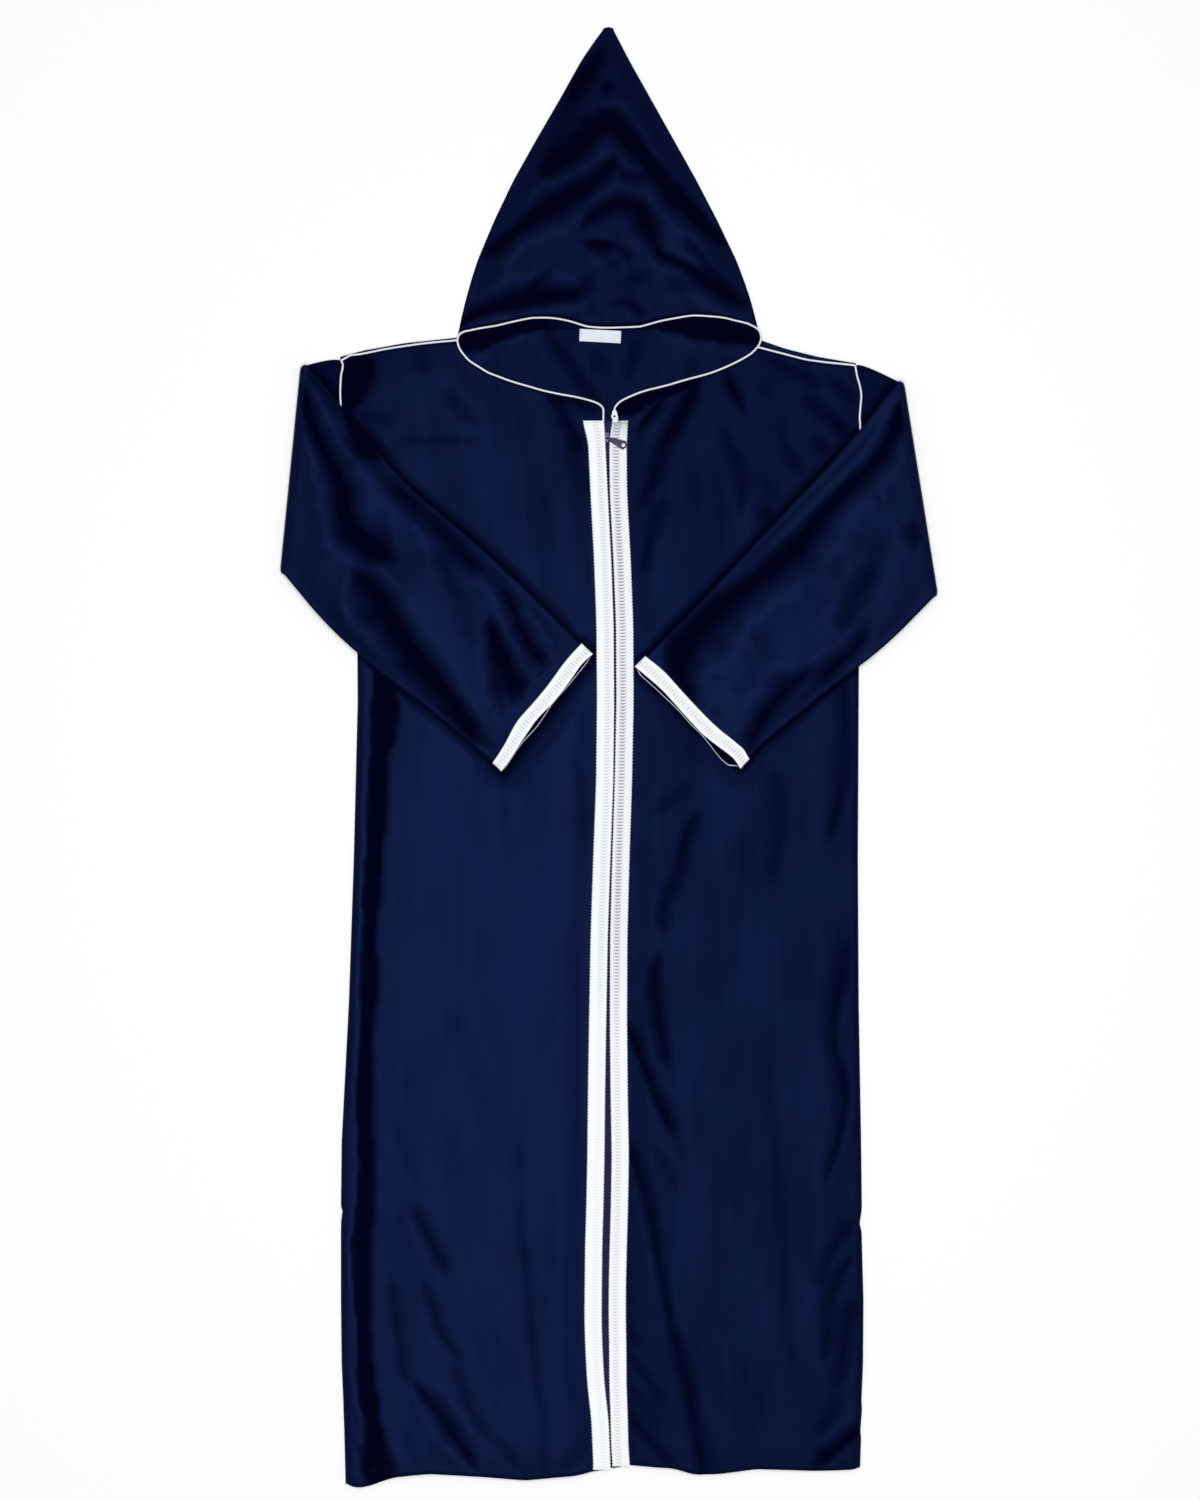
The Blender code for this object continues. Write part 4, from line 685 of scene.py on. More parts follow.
def crease_field(creases, x, y):
    """(height, dark) that the creases give each point: dark is the shade painted in each trough.
    Beside each trough the cloth swells a little, and a highlight painted there takes dark below 0."""
    depth = bpy.context.scene.robe_cloth.crease_depth
    height, dark, light = np.zeros((3, *x.shape))
    for number, (full, lean, *path) in enumerate(creases):
        path = np.array(path, float)
        low = path.min(axis=0) - CREASE_MARGIN
        high = path.max(axis=0) + CREASE_MARGIN
        near = (x > low[0]) & (x < high[0]) & (y > low[1]) & (y < high[1])
        px, py = x[near], y[near]
        nearest, along = np.full_like(px, 1e9), np.zeros_like(px)
        reach, side = np.ones((2, *px.shape))
        at = travelled(path[:, :2])
        for here, there, start, end in zip(path, path[1:], at, at[1:]):
            share, gap = to_segment(here, there, px, py)
            left = (there[0] - here[0]) * (py - here[1]) - (there[1] - here[1]) * (px - here[0])
            closer = gap < nearest
            nearest = np.where(closer, gap, nearest)
            along = np.where(closer, mix(start, end, share), along)
            reach = np.where(closer, mix(here[2], there[2], share), reach)
            side = np.where(closer, np.sign(left), side)
        strength = min(full, 1.0)
        ends = smooth(np.minimum(along, at[-1] - along) / min(30.0, 0.45 * at[-1]))
        waver = 1.0 + 0.10 * np.sin(along / 19.0 + number * 1.7)
        waver = waver + 0.07 * np.sin(along / 6.3 + number * 2.9)
        reach = reach * waver * mix(0.5, 1.0, ends) * (1 - lean * side)
        away = nearest / reach
        # A weak crease fades off sideways, and a strong one has a firmer edge.
        across = np.exp(-(away ** (1.5 + 0.5 * strength))) * ends
        rim = bell(away - 2.1, 0.75) * ends
        height[near] += depth * strength * reach * (0.09 * rim - TROUGH_SHARE * across)
        # Shade painted along the trough, and a highlight painted on its rims.
        shade = np.clip(full**1.3 * across, 0, 1)
        dark[near] = 1 - (1 - dark[near]) * (1 - shade)
        light[near] = np.maximum(light[near], strength * rim)
    return height, dark - 0.22 * light * (1 - dark)


def ripples(x, y, size, seed):
    """Slow unevenness of cloth that lies by its own weight, mostly along its length."""
    total = np.zeros_like(x)
    for number, (across, down) in enumerate(((62, 410), (97, 260), (145, 170), (38, 520))):
        phase = seed * 2.3 + number * 1.9
        bend = 9.0 * np.sin(y / (down * 0.61) + phase)
        wave = np.sin((x + bend) / across * 2.1 + y / down + phase)
        total += wave * (0.5 if across < 50 else 1.0)
    return total * size / 2.5


def front_surface(side, x, y):
    """(height of a front's top face, dark): seams, folds and what lies on it press it down."""
    to_side = np.abs(side_x(side, y) - x)
    to_band = np.maximum(side * (x - band_middle(side, y)) - BAND_WIDTH / 2, 0.0)
    at_neck = (x > NECK_CORNER[-1]) & (x < NECK_CORNER[1])
    top_edge = np.where(at_neck, curve_y(NECKLINE, x), curve_y(SHOULDER_SEAM[side], x))
    to_top = np.maximum(top_edge - y, 0.0)
    to_sleeve = distance_outside(sleeve_outline(side), x, y)
    to_cuff = distance_outside(sleeve_outline(side, -2), x, y)
    to_hem = np.maximum(y - curve_y(HEM, x), 0.0)
    below = smooth((SLEEVES[side].armhole_bottom.y - y) / 30.0)
    shoulder_rise = smooth(np.minimum(to_side, np.where(at_neck, 1e3, to_top)) / EDGE_REACH)
    base = mix(FRONT_EDGE_TOP, FRONT_TOP, mix(shoulder_rise, smooth(to_side / 5.0), below))
    # The cloth lies highest where nothing holds it down.
    free = smooth(to_band / 34.0) * smooth(to_top / 45.0) * smooth(to_sleeve / 14.0)
    free = free * mix(0.6, 1.0, smooth(to_hem / 30.0)) * mix(0.25, 1.0, smooth(to_side / 50.0))
    free = free * smooth((to_cuff - 8) / 26.0)
    # Creases die out at seams, at the braid and under the sleeve and its cuff.
    loose = smooth(to_band / 9.0) * smooth(to_top / 18.0) * smooth(to_sleeve / 10.0)
    loose = loose * smooth(to_side / 7.0) * smooth((to_cuff - 5) / 14.0)
    relief, dark = crease_field(FRONT_CREASES[side], x, y)
    relief = relief + ripples(x, y, 0.9, side) * smooth(to_side / 40.0)
    height = base + FRONT_LOFT * free + relief * loose
    # A painted shadow beside the sleeve, and a wider one beside its cuff.
    shadow = np.maximum(bell(to_sleeve, 5.8), 0.95 * bell(to_cuff, CUFF_SHADOW[side]))
    tone = mix(*FRONT_TONE[side], smooth((y - 150) / 200.0))
    # A highlight is painted just inside the roll of the wearer's right side seam.
    edge_light = 0.25 * bell(to_side - 9, 7) * below if side < 0 else 0.0
    return np.maximum(height, LOWEST_TOP), np.maximum(dark, shadow) + tone - edge_light


# ------------------------------------------------------------------ mesh helpers


def cloth_form(columns, rows, place, merge=False, fill_ends=False):
    """A grid shaped by place(column, row), which gives its points and cut, in mm, and dark: how
    far each point's colour is darkened, mostly as painted shade.
    """
    form = bmesh.new()
    bmesh.ops.create_grid(form, x_segments=columns, y_segments=rows, size=1.0)
    form.verts.index_update()
    flat = np.array([vert.co for vert in form.verts])
    column = np.round((flat[:, 0] + 1) / 2 * columns).astype(int)
    row = np.round((1 - flat[:, 1]) / 2 * rows).astype(int)
    points, cut, dark = place(column, row)
    cut_layer = form.loops.layers.uv.new("cut")
    dark_layer = form.verts.layers.float.new("dark")
    for vert, point, shade in zip(form.verts, points * MM, dark):
        vert.co = point
        vert[dark_layer] = shade
    for face in form.faces:
        for loop in face.loops:
            loop[cut_layer].uv = cut[loop.vert.index] * MM
    if merge:
        bmesh.ops.remove_doubles(form, verts=form.verts, dist=2e-6)
    if fill_ends:
        bmesh.ops.holes_fill(form, edges=form.edges, sides=0)
    bmesh.ops.recalc_face_normals(form, faces=form.faces)
    return form


def turn_faces(form, up, chosen=lambda centre: True):
    """Turns a form's faces so that those whose centres, in mm, are chosen look up, or down where
    up is -1."""
    facing = sum(face.normal.z * face.calc_area() for face in form.faces
                 if chosen(face.calc_center_median() / MM))
    if facing * up < 0:
        bmesh.ops.reverse_faces(form, faces=form.faces)
    return form


def turn_underside_down(form):
    return turn_faces(form, -1, lambda centre: centre.z < 0.1)


def soft_path(points, step):
    """Points about every `step` along a smooth curve through the given ones."""
    points = [np.array(point, float) for point in points]
    padded = [points[0], *points, points[-1]]
    found = []
    for p0, p1, p2, p3 in zip(padded, padded[1:], padded[2:], padded[3:]):
        count = max(1, round(np.linalg.norm(p2 - p1) / step))
        for t in np.arange(count) / count:
            found.append(0.5 * (2 * p1 + (p2 - p0) * t + (2 * p0 - 5 * p1 + 4 * p2 - p3) * t**2
                                + (3 * p1 - p0 - 3 * p2 + p3) * t**3))
    return np.array([*found, points[-1]])


def cord_form(path, radius=CORD_RADIUS):
    """A round cord along a path, which never runs straight up."""
    run = unit(np.gradient(path, axis=0))
    level = unit(np.cross(run, (0.0, 0.0, 1.0)))
    high = np.cross(level, run)
    along = travelled(path)

    def place(column, row):
        angle = column / CORD_SIDES * math.tau
        spoke = level[row] * np.cos(angle)[:, None] + high[row] * np.sin(angle)[:, None]
        return path[row] + spoke * radius, stack(angle * radius, along[row]), np.zeros(len(row))

    return cloth_form(CORD_SIDES, len(path) - 1, place, merge=True, fill_ends=True)


def strip_form(levels, middle, width_at, top_at, low, columns, dark_at=None):
    """A closed strip down the front, its top shaped by top_at(across, along, half its width)."""
    along_at = travelled(stack(middle(levels), levels))
    shares = np.array([*np.arange(columns + 1) / columns, 1.0, 0.0, 0.0])

    def place(column, row):
        y, along = levels[row], along_at[row]
        on_top = (column <= columns) | (column == columns + 3)
        half = width_at(y) / 2
        across = mix(-half, half, shares[column])
        z = np.where(on_top, top_at(across, along, half), low)
        dark = dark_at(across, along) * on_top if dark_at else np.zeros(len(row))
        return stack(middle(y) + across, y, z), stack(across, along), dark

    return cloth_form(columns + 3, len(levels) - 1, place, merge=True, fill_ends=True)


def closed_ring(form, points):
    verts = [form.verts.new(point) for point in points]
    return verts, [form.edges.new(pair) for pair in zip(verts, verts[1:] + verts[:1])]


def plate(form, outline, low, high, hole=None):
    """Adds a plate of an outline between two heights, round a hole where one is given."""
    loop, edges = closed_ring(form, [(x, y, low) for x, y in outline])
    if hole:
        (x, y), radius = hole
        ring = bmesh.ops.create_circle(
            form, segments=24, radius=radius, matrix=Matrix.Translation((x, y, low))
        )["verts"]
        edges += {edge for vert in ring for edge in vert.link_edges}
        faces = bmesh.ops.triangle_fill(form, edges=edges, use_beauty=True)["geom"]
        faces = [item for item in faces if isinstance(item, bmesh.types.BMFace)]
    else:
        faces = [form.faces.new(loop)]
    raised = bmesh.ops.extrude_face_region(form, geom=faces)["geom"]
    lifted = [item for item in raised if isinstance(item, bmesh.types.BMVert)]
    bmesh.ops.translate(form, vec=(0, 0, high - low), verts=lifted)
    bmesh.ops.recalc_face_normals(form, faces=form.faces)


def bevel_edges(form, width, segments=2):
    chosen = [edge for edge in form.edges
              if len(edge.link_faces) == 2 and edge.calc_face_angle() > math.radians(40)]
    bmesh.ops.bevel(form, geom=chosen, offset=width, segments=segments, profile=0.5,
                    affect="EDGES", material=-1, clamp_overlap=True)


def to_metres(form):
    bmesh.ops.scale(form, vec=(MM, MM, MM), verts=form.verts)
    return form


def stitch_form(runs, length, radius):
    """Separate stitches along runs of points, each a small rounded bar lying along its run."""
    form = bmesh.new()
    size = Matrix.Diagonal((length / 2 * MM, radius * MM, radius * MM, 1.0))
    for points in runs:
        for here, there in zip(points, points[1:]):
            turn = Vector((1, 0, 0)).rotation_difference(Vector(there - here)).to_matrix()
            place = Matrix.Translation(Vector((here + there) / 2) * MM)
            bmesh.ops.create_icosphere(
                form, subdivisions=1, radius=1.0, matrix=place @ turn.to_4x4() @ size
            )
    return form


def object_of(name, form, finish, sharper_than=60.0):
    mesh = bpy.data.meshes.new(name)
    form.to_mesh(mesh)
    form.free()
    mesh.shade_smooth()
    mesh.set_sharp_from_angle(angle=math.radians(sharper_than))
    mesh.materials.append(finish)
    obj = bpy.data.objects.new(name, mesh)
    bpy.context.scene.collection.objects.link(obj)
    return obj


def piece(name, form, finish, slot, node=None, body=ROBE, sharper_than=60.0, wall=0.0, **cut):
    """One finished piece: the body it rides on, its wall on the side that its faces turn away
    from, and the CAD node that it stands for. Its slot and, for a sheet of cloth, its cut are not
    used."""
    obj = object_of(name, form, finish, sharper_than)
    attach(obj, body)
    if wall:
        modifier = obj.modifiers.new("wall", "SOLIDIFY")
        modifier.thickness = wall
        modifier.offset = -1.0
    if node:
        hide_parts(node)


def satin_piece(name, node, form, **cut):
    wall = bpy.context.scene.robe_cloth.wall
    piece(name, form, navy_satin(), "navy_satin", node, wall=wall, **cut)


# ------------------------------------------------------------------ finishes


def add_node(tree, kind, settings, inputs, output=0):
    """Adds a node with its settings, and its inputs as values or the sockets that feed them."""
    node = tree.nodes.new("ShaderNode" + kind)
    for name, value in settings.items():
        setattr(node, name, value)
    for name, value in inputs.items():
        if isinstance(value, bpy.types.NodeSocket):
            tree.links.new(value, node.inputs[name])
        else:
            node.inputs[name].default_value = value
    return node.outputs[output]


def object_place(tree):
    return add_node(tree, "TexCoord", {}, {}, "Object")


def cut_map(tree, width, length):
    """The cloth's own map, with one unit made width by length metres."""
    cut = add_node(tree, "UVMap", {"uv_map": "cut"}, {}, "UV")
    return add_node(tree, "Mapping", {}, {"Vector": cut, "Scale": (1 / width, 1 / length, 1.0)})


def noise(tree, place, detail=2.0, scale=1.0):
    inputs = {"Vector": place, "Scale": scale, "Detail": detail}
    return add_node(tree, "TexNoise", {}, inputs, "Fac")


def ribs(tree, place, direction="DIAGONAL", distortion=0.3, detail=2.0):
    """Fine parallel ribs, about one for each unit of their place."""
    inputs = {"Vector": place, "Scale": 0.32, "Distortion": distortion, "Detail": detail}
    settings = {"wave_type": "BANDS", "bands_direction": direction}
    return add_node(tree, "TexWave", settings, inputs, "Fac")


def spread(tree, source, low, high, source_low=0.0, source_high=1.0):
    """A socket's values from source_low to source_high, spread over low to high."""
    return add_node(tree, "MapRange", {}, {
        "Value": source, "From Min": source_low, "From Max": source_high,
        "To Min": low, "To Max": high,
    })


def times_plus(tree, source, factor, more, clamp=False):
    return add_node(tree, "Math", {"operation": "MULTIPLY_ADD", "use_clamp": clamp},
                    {0: source, 1: factor, 2: more})


def finish_of(name, sockets, colours, pattern, bump=None):
    """A material, made once. pattern(tree) gives three sockets: the share of its second colour,
    its roughness, and the height that its bump follows. The last two may be None."""
    if name in bpy.data.materials:
        return bpy.data.materials[name]
    finish = bpy.data.materials.new(name)
    finish.use_nodes = True
    tree = finish.node_tree
    shader = tree.nodes["Principled BSDF"]
    for socket, value in sockets.items():
        shader.inputs[socket].default_value = value
    shade, rough, height = pattern(tree)
    first, second = ((*colour, 1.0) for colour in colours)
    mixed = add_node(tree, "Mix", {"data_type": "RGBA"}, {0: shade, 6: first, 7: second}, 2)
    tree.links.new(mixed, shader.inputs["Base Color"])
    if rough:
        tree.links.new(rough, shader.inputs["Roughness"])
    if bump:
        strength, distance_mm = bump
        raised = add_node(tree, "Bump", {}, {
            "Strength": strength, "Distance": distance_mm * MM, "Height": height,
        })
        tree.links.new(raised, shader.inputs["Normal"])
    return finish


def navy_satin():
    """Polyester satin, woven with long floats and pressed: a soft blue shine where it faces up,
    and nearly black where it turns away, partly from its slopes and partly from shade painted
    into its colour."""
    cloth = bpy.context.scene.robe_cloth

    def pattern(tree):
        # Slow clouding of the pressed cloth, from a finger's width to a hand's across.
        cloud = noise(tree, cut_map(tree, 0.06, 0.14), 4.0)
        # Warp threads bunch into faint streaks a finger wide and a hand long.
        streak = noise(tree, cut_map(tree, 0.008, 0.16), 3.0)
        # The dark attribute is shade and highlight painted into the colour, with each piece's
        # tone.
        dark = add_node(tree, "Attribute", {"attribute_name": "dark"}, {}, "Fac")
        uneven = times_plus(tree, cloud, 0.60, times_plus(tree, streak, 0.28, -0.44))
        shade = times_plus(tree, dark, 1.0, uneven, clamp=True)
        # The floats lie in slanting lines, drawn at about three times the real thread's width.
        weave = ribs(tree, cut_map(tree, cloth.thread, cloth.thread * 2.2), "DIAGONAL", 1.2, 1.0)
        return shade, spread(tree, shade, 0.38, 0.88), weave

    return finish_of("polyester_satin_woven_pressed", {
        "IOR": 1.45, "Specular IOR Level": 0.135, "Specular Tint": (0.10, 0.245, 1.0, 1.0),
    }, (cloth.navy, cloth.navy_deep), pattern, (0.10, 0.2))


def braid_finish(weave, gap_share):
    """Flat viscose braid, plaited on a loom: bright threads that scatter light, with soft grey
    shade painted in the gaps where they cross, darker on the side that shows its middle column."""
    trims = bpy.context.scene.robe_trims

    def pattern(tree):
        gap = add_node(tree, "Attribute", {"attribute_name": "dark"}, {}, "Fac")
        fibre = noise(tree, cut_map(tree, 0.0016, 0.0007))
        speck = times_plus(tree, fibre, 0.30, -0.13)
        shade = times_plus(tree, gap, gap_share, speck, clamp=True)
        return shade, spread(tree, shade, 0.55, 0.85), fibre

    return finish_of(f"viscose_braid_plaited_{weave}", {
        "IOR": 1.5, "Specular IOR Level": 0.35, "Sheen Weight": 0.08, "Sheen Roughness": 0.5,
    }, (trims.braid_white, trims.braid_gap), pattern, (0.35, 0.3))


def soiled_pattern(rib_size, direction, distortion, cloud_size, soil):
    """A pattern of fine ribs, faintly greyed in slow clouds."""
    def pattern(tree):
        rib = ribs(tree, cut_map(tree, rib_size, rib_size), direction, distortion)
        cloud = noise(tree, cut_map(tree, *cloud_size))
        return spread(tree, cloud, 0.0, soil), None, rib

    return pattern


def cord_cover():
    """White satin cut on the bias and sewn round a cord: smooth, its weave slanting round it."""
    trims = bpy.context.scene.robe_trims
    return finish_of(
        "satin_cover_bias_cut_sewn",
        {"IOR": 1.5, "Roughness": 0.5, "Specular IOR Level": 0.4, "Sheen Weight": 0.05},
        (trims.cord_white, trims.braid_gap),
        soiled_pattern(0.0012, "DIAGONAL", 0.8, (0.01, 0.006), 0.35), (0.3, 0.2),
    )


def label_cloth():
    """Polyester label tape, woven close: flat bluish white with a fine rib across it."""
    trims = bpy.context.scene.robe_trims
    return finish_of(
        "polyester_label_woven",
        {"IOR": 1.5, "Roughness": 0.6, "Specular IOR Level": 0.35, "Sheen Weight": 0.05},
        (trims.label_white, trims.braid_gap),
        soiled_pattern(0.0008, "Y", 0.4, (0.012, 0.008), 0.25), (0.3, 0.1),
    )


def zip_tape_cloth():
    """Polyester zip tape in a herringbone twill: dull dark navy, with slanting ribs."""
    colours = bpy.context.scene.robe_zip

    def pattern(tree):
        twill = ribs(tree, cut_map(tree, 0.0012, 0.0009))
        return spread(tree, twill, 0.0, 0.3), None, twill

    return finish_of("polyester_twill_tape_woven",
                     {"IOR": 1.5, "Roughness": 0.85, "Specular IOR Level": 0.12},
                     (colours.tape, colours.coil), pattern, (0.4, 0.2))


def hard_finish(name, colour, grain_mm, sockets, wear=0.15):
    """A hard part's finish: an even colour, a little worn where its fine grain stands out."""
    rough = sockets["Roughness"]

    def pattern(tree):
        grain = noise(tree, object_place(tree), 3.0, 1 / (grain_mm * MM))
        roughness = spread(tree, grain, rough - 0.06, rough + 0.1)
        return spread(tree, grain, 0.0, wear, 0.4, 0.75), roughness, None

    worn = [min(1.0, c * 2.2 + 0.02) for c in colour]
    return finish_of(name, sockets, (colour, worn), pattern)


def plated_zinc():
    """Zinc alloy, die cast and nickel plated dark: a soft lilac-grey metal shine."""
    return hard_finish("zinc_cast_nickel_plated", bpy.context.scene.robe_zip.slider, 0.6,
                       {"Metallic": 0.9, "Roughness": 0.34})


def lacquered_zinc():
    """Zinc alloy, die cast and lacquered slate: darker and duller than the plated slider."""
    return hard_finish("zinc_cast_lacquered", bpy.context.scene.robe_zip.tab, 0.8,
                       {"Metallic": 0.4, "Roughness": 0.45})


def nylon_coil():
    """Nylon monofilament, wound and set: dark navy with a small hard glint."""
    return hard_finish("nylon_monofilament_wound", bpy.context.scene.robe_zip.coil, 0.9,
                       {"IOR": 1.53, "Roughness": 0.5, "Specular IOR Level": 0.16}, 0.05)


def sewing_thread(shade):
    """Spun polyester thread: matt, and a shade off the cloth that it sews."""
    scene = bpy.context.scene
    colour = {"navy": scene.robe_cloth.navy, "white": scene.robe_trims.cord_white}[shade]
    return hard_finish(f"{shade}_polyester_thread_spun", colour, 0.4,
                       {"IOR": 1.5, "Roughness": 0.75}, 0.1)


def seamless_paper():
    """Matt seamless paper: even and pale, with the faintest tooth."""
    floor = bpy.context.scene.robe_stage.floor
    return finish_of("seamless_paper_matt", {"Roughness": 0.9, "Specular IOR Level": 0.1},
                     (floor, [c * 0.99 for c in floor]),
                     lambda tree: (noise(tree, object_place(tree), scale=400.0), None, None))


# ------------------------------------------------------------------ cloth pieces


def front_form(side):
    """From the neckline and the shoulder seam down to the hem, rolled over the side seam."""
    across_count, turn_count, top_rows, body_rows = 80, len(SIDE_TURN) - 1, 54, 206
    sleeve, corner = SLEEVES[side], NECK_CORNER[side]
    underarm = sleeve.armhole_bottom.y
    inner = float(centre_edge_x(side, ZIP_TOP))
    outer = sleeve.armhole_top.x - side * SEAM_GAP
    # One column stands at the neck corner, so that the neckline and the shoulder both start there.
    neck_count = round(across_count * (corner - inner) / (outer - inner))
    reaches, falls = zip(*SIDE_TURN)

    def place(column, row):
        flat_column = np.minimum(column, across_count)
        x_top = np.interp(flat_column, (0, neck_count, across_count), (inner, corner, outer))
        share = (x_top - inner) / (outer - inner)
        y_top = np.where(flat_column < neck_count, curve_y(NECKLINE, x_top, 4.0),
                         curve_y(SHOULDER_SEAM[side], x_top, 6.0)) - SEAM_GAP
        x_low = mix(centre_edge_x(side, HEM_LEVEL), side_x(side, HEM_LEVEL), share)
        y = np.where(row <= top_rows, mix(y_top, underarm, row / top_rows),
                     mix(underarm, curve_y(HEM, x_low, 6.0), (row - top_rows) / body_rows))
        x = mix(centre_edge_x(side, y), side_x(side, y) - side * SEAM_GAP, share)
        z, dark = front_surface(side, x, y)
        # The last columns roll over the side seam, or tuck down a little at the armhole.
        turn = column - flat_column
        free = smooth((underarm - y) / 12.0)
        x = x + side * np.array(reaches)[turn] * free
        z = np.where(turn > 0, mix(z - 0.35 * turn, np.array(falls)[turn], free), z)
        return stack(x, y, z), stack(x + turn * side * SIDE_TURN_STEP, y_top - y), dark

    return turn_faces(cloth_form(across_count + turn_count, top_rows + body_rows, place), 1)


def back_form():
    """From the shoulder seams, over the shoulders' pressed edge, and down to the hem."""
    across_count, top_rows, body_rows = 108, 48, 96
    edge_angles = [math.radians(angle) for angle in range(30, 181, 30)]
    first_row = len(edge_angles) + 1
    # Two of the columns stand at the neck corners.
    column_stops = (0, 24, 84, across_count)
    x_stops = (SLEEVES[-1].armhole_top.x + SEAM_GAP, NECK_CORNER[-1], NECK_CORNER[1],
               SLEEVES[1].armhole_top.x - SEAM_GAP)

    def edge_x(y):
        return lambda side: side_x(side, y) - side * SEAM_GAP

    def place(column, row):
        x_top = np.interp(column, column_stops, x_stops)
        on_shoulder = (x_top <= NECK_CORNER[-1]) | (x_top >= NECK_CORNER[1])
        y_shoulder = either_side(x_top, lambda side: curve_y(SHOULDER_TOP[side], x_top))
        y_edge = np.where(on_shoulder, y_shoulder, nape_y(x_top) - 0.1)
        y_seam = either_side(x_top, lambda side: curve_y(SHOULDER_SEAM[side], x_top)) + SEAM_GAP
        underarm = either_side(x_top, lambda side: SLEEVES[side].armhole_bottom.y)
        share = x_top / either_side(x_top, edge_x(SHOULDER_LEVEL))
        y_low = curve_y(HEM, share * either_side(x_top, edge_x(HEM_LEVEL)), 6.0)
        down = row - first_row
        y_start = np.where(on_shoulder, y_edge - EDGE_HALF, y_edge)
        y = np.where(down <= top_rows, mix(y_start, underarm, np.clip(down / top_rows, 0, 1)),
                     mix(underarm, y_low, (down - top_rows) / body_rows))
        x = share * either_side(x_top, edge_x(y))
        height, dark = crease_field(NECK_CREASES, x, y)
        # Its creases rise off the surface only round the neck, where they show.
        z = np.maximum(height, 0.0) * smooth((560 - np.abs(x) * 0.6 - np.abs(y - 500)) / 60.0)
        # The first rows turn over the shoulders' pressed edge to their seams, and end at the neck.
        over = [(y_edge - EDGE_HALF * (1 - math.sin(angle)), EDGE_HALF * (1 - math.cos(angle)))
                for angle in edge_angles]
        for number, (over_y, over_z) in enumerate([*over, (y_seam, FRONT_EDGE_TOP)]):
            here = down == -number - 1
            y = np.where(here, np.where(on_shoulder, over_y, y_edge), y)
            z = np.where(here, np.where(on_shoulder, over_z, 0.0), z)
            x = np.where(here, x_top, x)
        # Inside the neck shade is painted all over, and more under the face edge, most towards
        # the corners.
        neck = (np.abs(x) < 190) & (y > 420)
        under_hood = bell(np.maximum(curve_y(FACE_EDGE, x) - y, 0.0), 13.0)
        under_hood = under_hood * mix(0.2, 0.9, to_neck_corner(x))
        dark = np.maximum(dark + 0.35, under_hood * 1.1)
        return stack(x, y, z), stack(x, -y), dark * neck

    return turn_underside_down(
        cloth_form(across_count, first_row + top_rows + body_rows, place, merge=True)
    )


def tube_round(column, count):
    """(share across, layer, way round) of each column round a flattened tube, out over its top
    layer and back under it. The layer is 1 on top, -1 below and 0 at both edges, and the way round
    runs from 0 to 2."""
    turn = column % count / (count // 2)
    top = turn <= 1
    share = np.where(top, turn, 2 - turn)
    share = mix(share, (1 - np.cos(math.pi * share)) / 2, 0.55)
    edge = (share < 1e-6) | (share > 1 - 1e-6)
    return share, np.where(edge, 0, np.where(top, 1, -1)), np.where(top, share, 2 - share)


def edge_height(to_edge, radius=EDGE_HALF):
    inward = np.clip(to_edge / radius, 0, 1)
    return radius * np.sqrt(np.maximum(1 - (1 - inward) ** 2, 0))


def hood_form():
    """A flat tube from the face edge, on top, and the nape, below, up to the closed tip."""
    around, rows = 128, 104

    def place(column, row):
        share, layer, way = tube_round(column, around)
        x_edge = mix(NECK_CORNER[-1] + 2, NECK_CORNER[1] - 2, share)
        face = np.maximum(curve_y(FACE_EDGE, x_edge, 7.0) + CORD_RADIUS, HOOD_LOWEST)
        lap = mix(NAPE_LAP, CORNER_LAP, smooth((np.abs(x_edge) - 170) / 15))
        y_edge = np.where(layer > 0, face, nape_y(x_edge) - lap)
        y = mix(y_edge, HOOD_OUTLINE[-1].y, 1 - (1 - row / rows) ** 1.2)
        left, right = (level_x(HOOD_OUTLINE, side, y, 6.0) for side, _ in SIDES)
        # The last rows round the tip off to its middle.
        closing = np.sqrt(np.clip(1 - ((y - 911.2) / 1.3).clip(0, 1) ** 2, 0, 1))
        middle = (left + right) / 2
        left, right = mix(middle, left, closing), mix(middle, right, closing)
        x = mix(left, right, share)
        inset = np.minimum(x - left, right - x)
        lofted = mix(3.5, 7.5, smooth((y - 540) / 60)) * smooth(inset / 42.0)
        relief, dark = crease_field(HOOD_CREASES, x, y)
        relief = (relief + ripples(x, y, 0.8, 5.0)) * smooth(inset / 26.0)
        relief = relief * smooth((y - y_edge) / 14.0)
        height = np.where(layer > 0, np.maximum(lofted + relief, -0.8), 0.0)
        thin = smooth((HOOD_OUTLINE[-1].y - y) / 8.0)
        z = (EDGE_HALF + layer * edge_height(inset) + height) * thin
        # The lower layer's own edge lies up on the back's neckline.
        z = z + np.where(layer < 0, 0.75 * smooth(1 - (y - y_edge) / 4), 0.0)
        shade = mix(0.42, 0.30, smooth((760 - y) / 150))
        # Inside the neck shade is painted on the lower layer, deepest in the two corners.
        under = mix(0.4, mix(0.7, 1.3, to_neck_corner(x)), smooth(1 - (y - y_edge) / 60))
        return (stack(x, y, z), stack(way * NECK_GIRTH, y),
                np.where(layer > 0, dark + shade, under))

    return turn_underside_down(cloth_form(around, rows, place, merge=True))


def sleeve_axis(sleeve):
    """Its fold line's two ends, and the way that the fold points out, in plan."""
    fold = sleeve.stations[0]
    ends = np.array(((fold.upper_x, fold.upper_y), (fold.lower_x, fold.lower_y)))
    run = unit(ends[1:] - ends[:1])[0]
    out = np.array((run[1], -run[0]))
    return *ends, out if out[0] * sleeve.side > 0 else -out


def sleeve_run(sleeve):
    """The way that the sleeve runs at its cuff, in plan."""
    last, before = sleeve.stations[-1], sleeve.stations[-3]
    return unit(np.array([(last.upper_x - before.upper_x, last.upper_y - before.upper_y)]))[0]


